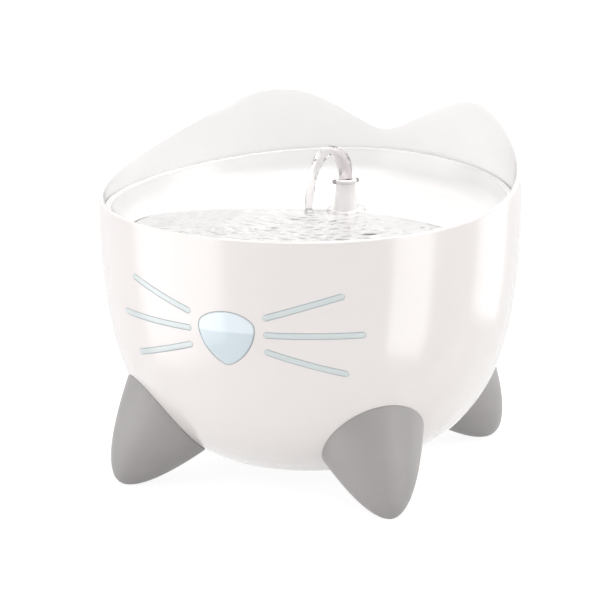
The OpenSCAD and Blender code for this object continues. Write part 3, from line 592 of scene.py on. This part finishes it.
def noseRows():
    edge = face["ring"] + 0.1
    rows = []

    def onDome(f, sink=0.0):
        def place(a):
            x, z = noseOutline(a, -edge)
            x, z = x * f, face["noseZ"] + (z - face["noseZ"]) * f
            return x, domeY(x, z) + sink, z
        return place
    for f in (0, 0.15, 0.3, 0.45, 0.6, 0.72, 0.82, 0.89, 0.94):
        rows.append(onDome(f))
    # the dome's edge turns down with a round
    for i in range(1, 6):
        turn = math.pi / 2 * i / 5
        rows.append(onDome(0.94 + 0.06 * math.sin(turn), 0.9 * (1 - math.cos(turn))))

    def behind(grow, depth, f=1.0):
        def place(a):
            x, z = noseOutline(a, grow)
            x, z = x * f, face["noseZ"] + (z - face["noseZ"]) * f
            return x, frontOf(x, z, depth), z
        return place
    wide, front = face["flange"], bowl["wall"] + 0.8
    rear = front + face["flangeT"]
    return rows + [behind(-edge, 1.6), behind(-edge, front), behind(wide, front + 0.05),
                   behind(wide, rear), behind(wide, rear + 0.05, 0.6),
                   behind(wide, rear + 0.05, 0)]


def noseRing():
    # the soft seal, seen as a thin line round the lens
    low, high, wide = -face["ring"], -0.02, face["sealOut"]

    def place(grow, depth):
        def at(a):
            x, z = noseOutline(a, grow)
            return x, frontOf(x, z, depth), z
        return at
    return [place(low, -0.02), place(low + 0.08, -0.12), place(high - 0.1, -0.12),
            place(high, 0.02), place(high, bowl["wall"]), place(wide, bowl["wall"] + 0.05),
            place(wide, bowl["wall"] + 0.75), place(low, bowl["wall"] + 0.75)]


finish(spinRows(noseRows(), 128), "nose_dome", "base", noseIce, ("nose_lens",))
finish(spinRows(noseRing(), 128, closed=True), "nose_seal", "base", sealGrey,
       ("nose_gasket",))


def whiskerBar(bm, p, q, grow=0.0):
    # a long low pad with round ends, laid on the bowl's face; a grown one is the
    # flat parting line round it, painted grey as the shadow in the gap
    p, q = Vector(p), Vector(q)
    length, half = (q - p).length + 2 * grow, face["barW"] / 2 + grow
    edge, proud = (-0.03, 0.05) if grow else (0.12, face["barProud"])
    along = (q - p).normalized()
    across = Vector((-along.y, along.x))
    grid = bmesh.new()
    bmesh.ops.create_grid(grid, x_segments=72, y_segments=10, size=0.5)
    for v in grid.verts:
        u, w = v.co.x * 2, v.co.y * 2
        # columns crowd towards the ends, so that the round stays smooth
        u = math.copysign(1 - (1 - abs(u)) ** 1.6, u)
        run = u * length / 2
        over = abs(run) - (length / 2 - half)
        reach = half if over <= 0 else math.sqrt(max(half * half - over * over, 0))
        place = (p + q) / 2 + along * run + across * w * reach
        lift = (1 - (w * reach / half) ** 2) * (1 if over <= 0 else reach / half)
        depth = edge - (edge + proud) * max(lift, 0) ** 0.3
        v.co = (place.x, frontOf(place.x, place.y, depth), place.y)
    bmesh.ops.remove_doubles(grid, verts=grid.verts, dist=0.002)
    bmesh.ops.recalc_face_normals(grid, faces=grid.faces)
    if sum(f.normal.y for f in grid.faces) > 0:
        bmesh.ops.reverse_faces(grid, faces=grid.faces)
    rim = [e for e in grid.edges if e.is_boundary]
    for v in bmesh.ops.extrude_edge_only(grid, edges=rim)["geom"]:
        if isinstance(v, bmesh.types.BMVert):
            v.co.y += face["barDepth"]
    bmesh.ops.holes_fill(grid, edges=[e for e in grid.edges if e.is_boundary], sides=0)
    for f in grid.faces:
        f.material_index = 1 if grow else 0
    joined(bm, grid)


def whiskerPlate():
    # thin plate behind the wall that carries the three bars of one side
    z = face["noseZ"] + face["up"]
    left, right = face["barIn"] - 1.1, face["barMidOut"] + face["plateEdge"]
    grid = bmesh.new()
    bmesh.ops.create_grid(grid, x_segments=20, y_segments=10, size=0.5)
    for v in grid.verts:
        x = left + (v.co.x + 0.5) * (right - left)
        f = min((x - left) / (face["barOut"] - left), 1)
        reach = face["near"] + (face["far"] - face["near"]) * f + face["plateEdge"]
        if x > face["barOut"]:
            reach -= (x - face["barOut"]) / (right - face["barOut"]) * (reach - face["plateEdge"])
        height = z + 2 * v.co.y * reach
        v.co = (x, frontOf(x, height, bowl["wall"] + 0.05), height)
    bmesh.ops.recalc_face_normals(grid, faces=grid.faces)
    for v in bmesh.ops.extrude_face_region(grid, geom=list(grid.faces))["geom"]:
        if isinstance(v, bmesh.types.BMVert):
            v.co.y = frontOf(v.co.x, v.co.z, bowl["wall"] + face["flangeT"])
    return grid


for side, word in ((-1, "left"), (1, "right")):
    bars = bmesh.new()
    middle = face["noseZ"] + face["up"]
    for inZ, outX, outZ in ((face["near"], face["barOut"], face["far"]),
                            (0, face["barMidOut"], 0),
                            (-face["near"], face["barOut"], -face["far"])):
        for grow in (0.0, face["gapW"]):
            whiskerBar(bars, (side * face["barIn"], middle + inZ),
                       (side * outX, middle + outZ), grow)
    joined(bars, whiskerPlate(), Matrix.Scale(side, 4, (1, 0, 0)))
    piece = finish(bars, "whiskers_" + word, "base", whiskerIce,
                   ("whisker_lens_" + word,))
    piece.data.materials.append(gapPaintedShadow)
print("face made")

tray = {"gap": 0.5, "rimLow": 3.2, "rimRise": 12.2, "lowY": -45.4, "thick": 2.2, "rimW": 3.9,
        "tilt": 4.5, "crown": 830.0, "fillet": 14.0, "slope": 68.0, "drop": 22.15,
        "shift": 2.22, "wallIn": 2.4, "seatGap": 0.08, "edge": 0.45, "skirtT": 2,
        "columns": 256}
spoutY = 52.0
trayR = bowl["boreR"] - tray["gap"]
seatZ = ledgeZ + tray["seatGap"]
rimRun = trayR - bowl["boreShift"] - tray["lowY"]
rimArc = (rimRun ** 2 + tray["rimRise"] ** 2) / (2 * tray["rimRise"])
dishSlope = math.radians(tray["slope"])
roundR = trayR - tray["rimW"] - tray["fillet"] * math.sin(dishSlope) - tray["wallIn"]
roundA = math.asin(roundR / (tray["crown"] - tray["fillet"]))
roundZ = tray["crown"] - (tray["crown"] - tray["fillet"]) * math.cos(roundA)
dishFrame = (Matrix.Translation((0, tray["shift"], bowl["rimZ"] - tray["drop"]))
             @ Matrix.Rotation(math.radians(tray["tilt"]), 4, "X"))


def trayRimZ(y):
    # level in front, a large arc behind
    run = max(y - tray["lowY"], 0)
    return bowl["rimZ"] - tray["rimLow"] + rimArc - math.sqrt(rimArc ** 2 - run ** 2)


def dishPoint(r, h, a):
    return dishFrame @ Vector((r * math.sin(a), -r * math.cos(a), h))


def dishWall(run, e):
    # the straight wall above the round; e is how far outside the dish's face
    r = roundR + (tray["fillet"] + e) * math.sin(dishSlope) + run * math.cos(dishSlope)
    return r, roundZ - (tray["fillet"] + e) * math.cos(dishSlope) + run * math.sin(dishSlope)


def wallPoint(run, a):
    return dishPoint(*dishWall(run, 0), a)


def dishProfile(e):
    # floor and round, as radius and height in the tilted frame
    crown, fillet = tray["crown"] + e, tray["fillet"] + e
    points = [(crown * math.sin(b), tray["crown"] - crown * math.cos(b))
              for b in spread(0, roundA, 16)]
    return points + [(roundR + fillet * math.sin(b), roundZ - fillet * math.cos(b))
                     for b in spread(roundA, dishSlope, 14)[1:]]


dishHeight = tableOf(dishProfile(0) + [dishWall(run, 0) for run in (4, 12, 24)])


def dishZ(x, y):
    # height of the dish's face above a place on the ground
    y2 = (y - tray["shift"]) / math.cos(math.radians(tray["tilt"]))
    z = 0.0
    for _ in range(3):
        local = y2 + z * math.tan(math.radians(tray["tilt"]))
        z = dishHeight(math.hypot(x, local))
    return (dishFrame @ Vector((x, local, z))).z


def trayRows():
    rows = [lambda a, p=p: dishPoint(*p, a) for p in dishProfile(0)]

    @perAngle
    def mouth(a):
        # where the dish's wall ends under the rim's round
        return solve(lambda run: wallPoint(run, a).z
                     < trayRimZ(wallPoint(run, a).y) - tray["edge"], 0, 26)
    for f in spread(0, 1, 7)[1:]:
        rows.append(lambda a, f=f: wallPoint(f * mouth(a), a))

    def skirt(r, z, a):
        return r * math.sin(a), -r * math.cos(a) - bowl["boreShift"], z

    def lipPoint(a, f):
        # over the rim from the mouth, f 0, to the skirt, f 1
        m = wallPoint(mouth(a), a)
        out = Vector(skirt(trayR, 0, a))
        p = Vector((m.x, m.y, 0)).lerp(out, f)
        width = (out - Vector((m.x, m.y, 0))).length
        edge = min(tray["edge"], width * 0.45)
        near = min(f * width, (1 - f) * width)
        fall = 0 if near > edge else edge - math.sqrt(max(edge ** 2 - (edge - near) ** 2, 0))
        return p.x, p.y, trayRimZ(p.y) - fall * tray["edge"] / edge
    for f in (0.01, 0.035, 0.08, 0.14, 0.21, 0.3, 0.5, 0.7, 0.79, 0.86, 0.92, 0.965, 0.99, 1.0):
        rows.append(lambda a, f=f: lipPoint(a, f))
    for f in (0.9, 0.6, 0.3, 0.05):
        rows.append(lambda a, f=f: skirt(trayR, seatZ + f * (lipPoint(a, 1)[2] - seatZ), a))
    # the skirt's soft lower edge; then the underside, which starts on the outer face of the
    # dish's wall and ends in the middle
    inner = trayR - tray["skirtT"]
    for r, z in ((trayR - 0.3, seatZ), (inner + 0.3, seatZ), (inner, seatZ + 0.3),
                 (inner, seatZ + 1), (bowl["ledgeR"] - 0.5, seatZ + 1),
                 (bowl["ledgeR"] - 1, seatZ - 0.5)):
        rows.append(lambda a, r=r, z=z: skirt(r, z, a))
    for r, z in reversed(dishProfile(tray["thick"])[:-3]):
        def under(a, r=r, z=z):
            # the outer part stays clear of the bowl's ledge
            p = dishPoint(r, z, a)
            limit = bowl["ledgeR"] - 1.2
            size = math.hypot(p.x, p.y)
            if size > limit:
                p.x, p.y = p.x * limit / size, p.y * limit / size
            return p.x, p.y, min(p.z, seatZ - 0.6) if r > 80 else p.z
        rows.append(under)
    return rows


well = {"seatZ": ledgeZ - 9.2, "r": 8.9, "wall": 1.7, "flangeR": 10.5, "gap": 0.3,
        "shelf": 1.6, "depth": 7.8}
wellOut = well["r"] + well["wall"]
wellIn = well["flangeR"] + well["gap"]
wellZ = well["seatZ"] - well["depth"]


def drainWell():
    # cup under the spout: a closed ring whose top stays inside the dish's thickness
    top = dishZ(0, spoutY - 11) - 0.9
    shelfZ = well["seatZ"] - well["shelf"]
    return turned([(wellIn + well["shelf"], top), (wellIn + well["shelf"], shelfZ),
                   (wellOut, shelfZ), (wellOut, wellZ), (well["r"], wellZ),
                   (well["r"], well["seatZ"]), (wellIn, well["seatZ"]), (wellIn, top)],
                  (0, spoutY), 96, edgeRound=0.25)


trayShape = cleaned(spinRows(trayRows(), tray["columns"]))
knife = turned([(0, well["seatZ"] - 20), (wellIn, well["seatZ"] - 20), (wellIn, 150), (0, 150)],
               (0, spoutY), 96, closed=False)
trayShape = cutBy(trayShape, knife)
joined(trayShape, drainWell())
finish(trayShape, "tray_dish", "tray", trayWhite, ("drinking_tray",))
print("tray made")

spout = {"height": 18.5, "footR": 6.7, "neckR": 5.5, "collarR": 6.25, "collarH": 2.6,
         "jetR": 3.6, "jetWall": 0.7, "socket": 4.5, "riserR": 5.0, "riserGap": 0.05,
         "skirtR": 7.4, "notches": 8, "notchR": 1.4, "seatGap": 0.08, "edgeDrop": 0.25,
         "cove": 0.9, "coveRun": 1.1, "lugIn": 0.5, "lugOut": 1.2, "lugT": 1.0,
         "lugReach": 0.6, "lugs": (46, 226)}
stemTop = well["seatZ"] + spout["height"]
socketZ = stemTop - spout["socket"]
boreTop = socketZ - 4
socketR = spout["jetR"] + spout["jetWall"]


def stemShape():
    # bell-shaped outside, then down the bore that the riser tube stands in
    z0, low, riser = well["seatZ"] + 3.5, wellZ + 0.4, spout["riserR"] + spout["riserGap"]
    outside = []
    for i in range(21):
        f = i / 20
        r = spout["neckR"] + (spout["footR"] - spout["neckR"]) * (1 + math.cos(math.pi * f)) / 2
        outside.append((r, z0 + (stemTop - 1.5 - z0) * f))
    profile = [(spout["skirtR"], low), (spout["skirtR"], well["seatZ"] + 1),
               (spout["footR"], well["seatZ"] + 2)]
    profile += outside + [(spout["neckR"], stemTop), (socketR, stemTop), (socketR, socketZ),
                          (spout["jetR"], socketZ), (spout["jetR"], boreTop),
                          (riser, boreTop), (riser, low)]
    return turned(profile, (0, spoutY), 96, edgeRound=0.2)


def flangeShape():
    # a disc whose top follows the dish, with a soft edge and drain notches
    r = well["flangeR"]
    rows = []
    for f in (0, 0.4, 0.64, 0.7, 0.8, 0.9, 0.96, 0.985, 1.0):
        def top(a, f=f):
            x, y = r * f * math.sin(a), spoutY - r * f * math.cos(a)
            drop = spout["edgeDrop"] * max(0, (f - 0.96) / 0.04) ** 2
            # a small cove where the stem rises from the disc
            run = max(0, f * r - spout["footR"]) / spout["coveRun"]
            cove = spout["cove"] * max(0, 1 - run) ** 2
            return x, y, dishZ(x, y) + 0.02 - drop + cove
        rows.append(top)

    def below(f, z):
        return lambda a: (r * f * math.sin(a), spoutY - r * f * math.cos(a), z)
    base = well["seatZ"] + spout["seatGap"]
    rows += [below(1, base + 0.9), below(1, base + 0.2), below(0.98, base), below(0, base)]
    disc = cleaned(spinRows(rows, 96))
    knives = bmesh.new()
    reach = r - spout["notchR"] + 0.1
    for i in range(spout["notches"]):
        turn = 2 * math.pi * (i + 0.5) / spout["notches"]
        joined(knives, turned([(0, base - 3), (spout["notchR"], base - 3),
                               (spout["notchR"], base + 12), (0, base + 12)],
                              (reach * math.sin(turn), spoutY - reach * math.cos(turn)), 20,
                              closed=False))
    return cutBy(disc, knives)


stemPiece = flangeShape()
joined(stemPiece, stemShape())
finish(stemPiece, "spout_column", "spout", spoutWhite, ("spout_stem",))


def nozzleShape():
    z0 = stemTop + spout["seatGap"]
    z1 = z0 + spout["collarH"]
    ring = turned([(spout["collarR"] - 0.25, z0), (spout["collarR"], z0 + 0.5),
                   (spout["collarR"], z1 - 0.7), (spout["collarR"] - 0.7, z1),
                   (spout["jetR"] + 0.9, z1), (spout["jetR"], z1 - 0.8),
                   (spout["jetR"], socketZ + 0.3), (socketR - 0.05, socketZ + 0.3),
                   (socketR - 0.05, z0)],
                  (0, spoutY), 96, edgeRound=0.25)
    for f in ring.faces:
        # the mouth's inside is painted dark: painted shade of the deep hole
        middle = f.calc_center_median()
        if math.hypot(middle.x, middle.y - spoutY) < spout["jetR"] + 0.15:
            f.material_index = 2
    for heading in spout["lugs"]:
        # small pull lug, a ring on its edge
        low, high, half = spout["lugIn"], spout["lugOut"], spout["lugT"] / 2
        lug = turned([(low, -half), (high, -half), (high, half), (low, half)], (0, 0), 32,
                     edgeRound=0.22)
        # the lug is painted grey: painted shade of its edges and hole
        for f in lug.faces:
            f.material_index = 1
        joined(ring, lug, Matrix.Translation((0, spoutY, z0 + spout["collarH"] / 2))
               @ Matrix.Rotation(math.radians(heading), 4, "Z")
               @ Matrix.Translation((spout["collarR"] + spout["lugReach"], 0, 0))
               @ Matrix.Rotation(math.radians(90), 4, "X"))
    return ring


collar = finish(nozzleShape(), "spout_collar", "nozzle", collarGrey,
                ("spout_nozzle",))
collar.data.materials.append(lugPaintedShade)
collar.data.materials.append(borePaintedShade)
print("spout made")

pool = {"level": 133.0, "columns": 300, "middle": (-4.0, -24.0), "landing": (-17.0, 40.0),
        "wave": 0.26, "nearShare": 1.1, "nearLength": 6.5, "fade": 50.0,
        "farShare": 0.45, "farLength": 9.5, "meniscus": 0.03, "film": 0.03,
        # share, heading and length of each chop; how much it bends, over what, and from where
        "chops": [(0.32, (0.32, 0.95), 1.3, 2.4, (11, 29), 0),
                  (0.26, (0.5, -0.87), 1.7, 1.9, (9, -21), 1)]}


def ripple(x, y):
    # rings from where the jet lands, crossed by choppy ones that come back from the wall
    lx, ly = pool["landing"]
    d = math.hypot(x - lx, y - ly)
    turns = 2 * math.pi * d
    h = pool["nearShare"] * math.sin(turns / pool["nearLength"]) * math.exp(-d / pool["fade"])
    h += pool["farShare"] * math.sin(turns / pool["farLength"]
                                     + 2.2 * math.sin(x / 13 + y / 31) + 0.4)
    for share, (ax, ay), length, bend, (bx, by), start in pool["chops"]:
        h += share * math.sin((ax * x + ay * y) / length
                              + bend * math.sin(x / bx + y / by + start))
    return pool["wave"] * h


@perAngle
def poolReach(a):
    # how far the water reaches from the pool's middle before the dish comes up to it
    cx, cy = pool["middle"]

    def wet(d):
        x, y = cx + d * math.sin(a), cy - d * math.cos(a)
        return dishZ(x, y) < pool["level"] - 0.02
    return solve(wet, 10, 112)


def poolRows():
    cx, cy = pool["middle"]

    def at(a, f):
        d = f * poolReach(a)
        return cx + d * math.sin(a), cy - d * math.cos(a)

    def top(a, f):
        # the waves die out towards the edge, where the water creeps up a little
        x, y = at(a, f)
        calm = min(1, (1 - f) * 14)
        z = max(pool["level"] + ripple(x, y) * calm, dishZ(x, y) + 2 * pool["film"])
        return x, y, z + pool["meniscus"] * math.exp(-(1 - f) * 60)

    def bottom(a, f):
        x, y = at(a, f)
        return x, y, dishZ(x, y) + pool["film"]
    fractions = spread(0, 1, 90)
    rows = [lambda a, f=f: top(a, f) for f in fractions]
    rows += [lambda a, f=f: bottom(a, f) for f in reversed(fractions[::3])]
    return rows


finish(spinRows(poolRows(), pool["columns"]), "pool_water", "tray", water)

# places along the middle of the stream, each with its radius
jet = {"points": [((0.0, 52.0, 144.8), 3.5), ((0.0, 52.0, 149.6), 3.45),
                  ((-0.1, 51.9, 153.6), 3.75), ((-1.0, 51.3, 159.6), 4.0),
                  ((-3.5, 49.9, 164.7), 3.75), ((-7.4, 47.9, 167.0), 3.2),
                  ((-11.4, 45.6, 165.4), 2.95), ((-14.1, 43.9, 160.2), 2.9),
                  ((-15.9, 42.6, 153.2), 2.75), ((-17.0, 41.5, 146.0), 2.4),
                  ((-17.5, 40.7, 139.2), 2.1), ((-17.5, 40.3, 135.0), 2.0),
                  ((-17.5, 40.2, 133.5), 2.9)],
       "rings": 90, "sides": 36, "wide": (0.55, -0.83, 0),
       # size of each wobble, its lobes round the stream, and its turn along it
       "wobbles": [(0.05, 0, 2.1), (0.07, 2, 1.7), (0.04, 5, 2.3)]}


def jetShape():
    # sections along a smooth run through the points, each turned to face along it
    places = [Vector(p) for p, r in jet["points"]]
    radii = [r for p, r in jet["points"]]
    last = len(places) - 1

    def run(u):
        # Catmull-Rom through the points
        i = min(int(u), last - 1)
        f = u - i
        p = [places[max(i - 1, 0)], places[i], places[i + 1], places[min(i + 2, last)]]
        point = 0.5 * ((2 * p[1]) + (p[2] - p[0]) * f
                       + (2 * p[0] - 5 * p[1] + 4 * p[2] - p[3]) * f * f
                       + (3 * p[1] - p[0] - 3 * p[2] + p[3]) * f ** 3)
        return point, radii[i] + (radii[i + 1] - radii[i]) * f
    rows = []
    for u in spread(0, last, jet["rings"] + 1):
        ahead = (run(min(u + 0.02, last))[0] - run(max(u - 0.02, 0))[0]).normalized()
        up = ahead.cross(Vector(jet["wide"])).normalized()
        side = up.cross(ahead).normalized()

        def section(angle, u=u, up=up, side=side):
            # the stream necks and swells as it falls
            centre, radius = run(u)
            sway = min(1, max(0, u - 1))
            swell = 1 + sway * sum(size * math.sin(lobes * angle + u * turn)
                                   for size, lobes, turn in jet["wobbles"])
            return centre + (side * math.cos(angle) + up * math.sin(angle)) * radius * swell
        rows.append(section)
    bm = spinRows(rows, jet["sides"])
    bmesh.ops.holes_fill(bm, edges=[e for e in bm.edges if e.is_boundary], sides=0)
    return bm


finish(jetShape(), "jet_water", "nozzle", streamWater)
print("water made")

nodeFinish = {
    "cable_grommet": grommetGrey, "spout_seal": darkSeal, "filter_basket": filterClear,
    "filter_lid": filterClear, "filter_fleece": fleeceWhite, "filter_carbon": carbonBlack,
    "filter_foam": foamBlue, "pump_housing": pumpDark, "pump_end_cap": pumpDark,
    "pump_gasket": darkSeal, "stator_core": coreSteel, "stator_coil": coilCopper,
    "driver_board": boardGreen, "night_lamp": lampWarm, "lamp_lens": lensIce,
    "rotor_shaft": ceramicWhite, "rear_bush": darkSeal, "cable_gland": darkSeal,
    "suction_cups": cupGrey, "riser_tube": filterClear, "rotor_magnet": ferriteGrey,
    "impeller": bladeWhite, "intake_cover": pumpDark, "front_bush": darkSeal,
    "flow_slider": sliderBlue}
for name, material in nodeFinish.items():
    slots = nodes[name].data.materials
    slots.clear()
    slots.append(material)
print("inner parts finished")

# lengths in metres; the white floor only glows for the eye, so it keeps its shadow
stage = {"floor": 3.0, "floorColour": "#F4F4F4", "floorGlow": 1.2, "floorMix": 0.75,
         "world": 0.73, "aim": 0.05,
         # heading from straight ahead, elevation, distance, width, height, spread, watts
         "lamps": [("left_softbox", -52, 0, 1.15, 1.3, 1.4, 180, 5.9),
                   ("left_strip", -50, 0, 1.1, 0.95, 0.9, 180, 1.8),
                   ("right_strip", 75.5, 0, 0.7, 0.28, 0.7, 180, 1.35),
                   ("rear_strip", 131, 0, 0.7, 0.34, 0.4, 180, 0.55),
                   ("top_softbox", -8, 70, 1.5, 1.2, 1.2, 180, 4.9),
                   ("overhead_softbox", 150, 80, 1.1, 0.3, 0.3, 30, 0.17),
                   ("right_softbox", 104, 42, 1.3, 0.8, 0.8, 180, 3.8)]}


def paperFloor():
    # pale paper sweep: white to the eye and in reflections, still takes the shadow
    material, tree, shader, place = newMaterial(
        "paper_sweep", {"Base Color": toLinear(stage["floorColour"]), "Roughness": 0.9,
                        "Specular IOR Level": 0.1})
    glow = addNode(tree, "ShaderNodeEmission", values={"Color": (1, 1, 1, 1),
                                                       "Strength": stage["floorGlow"]})
    path = addNode(tree, "ShaderNodeLightPath")
    seen = either(tree, path.outputs["Is Camera Ray"], path.outputs["Is Transmission Ray"])
    amount = addNode(tree, "ShaderNodeMath", {"operation": "MULTIPLY"},
                     {1: stage["floorMix"]}, {0: seen})
    mixShaders(tree, amount.outputs[0], shader.outputs["BSDF"], glow.outputs["Emission"])
    return material


bm = bmesh.new()
bmesh.ops.create_grid(bm, x_segments=1, y_segments=1, size=stage["floor"])
floor = placed("studio_floor", meshOf(bm, "studio_floor"))
floor.data.materials.append(paperFloor())
floor.visible_glossy = False  # glossy faces see the white surround instead

world = bpy.data.worlds.new("studio")
bpy.context.scene.world = world
world.use_nodes = True
tree = world.node_tree
tree.nodes.clear()
addNode(tree, "ShaderNodeOutputWorld")
light, white = [addNode(tree, "ShaderNodeBackground", values={"Color": (1, 1, 1, 1),
                                                              "Strength": strength}).outputs[0]
                for strength in (stage["world"], 1.0)]
path = addNode(tree, "ShaderNodeLightPath")
# what the eye sees, straight, mirrored or through water, is white all round
seen = either(tree, path.outputs["Is Camera Ray"], path.outputs["Is Glossy Ray"])
mixShaders(tree, either(tree, seen, path.outputs["Is Transmission Ray"]), light, white)

for name, heading, lift, distance, width, height, beam, power in stage["lamps"]:
    lamp = bpy.data.lights.new(name, "AREA")
    lamp.shape = "RECTANGLE"
    lamp.size, lamp.size_y, lamp.energy = width, height, power
    lamp.spread = math.radians(beam)
    thing = placed(name, lamp)
    turn, lift = math.radians(heading), math.radians(lift)
    thing.location = (distance * math.cos(lift) * math.sin(turn),
                      -distance * math.cos(lift) * math.cos(turn),
                      stage["aim"] + distance * math.sin(lift))
    facing = Vector((0, 0, stage["aim"])) - thing.location
    thing.rotation_euler = facing.to_track_quat("-Z", "Y").to_euler()
    thing.visible_camera = False
    # the strips only draw the soft upright glints
    thing.visible_diffuse = "strip" not in name

# lengths in metres
camera = {"azimuth": 22.75, "elevation": 13.68, "distance": 1.374584, "lens": 150.0,
          "right": -0.005633, "height": 0.092512}
az, el = math.radians(camera["azimuth"]), math.radians(camera["elevation"])
right = Vector((math.cos(az), math.sin(az), 0))
back = Vector((math.sin(az) * math.cos(el), -math.cos(az) * math.cos(el), math.sin(el)))
aim = right * camera["right"] + Vector((0, 0, camera["height"]))
data = bpy.data.cameras.new("camera")
data.lens = camera["lens"]
data.sensor_width = 36.0
data.sensor_fit = "HORIZONTAL"
thing = placed("camera", data)
thing.location = aim + back * camera["distance"]
thing.rotation_euler = back.to_track_quat("Z", "Y").to_euler()
bpy.context.scene.camera = thing

settings = bpy.context.scene.view_settings
settings.view_transform = "Standard"
print("stage, light and camera set")
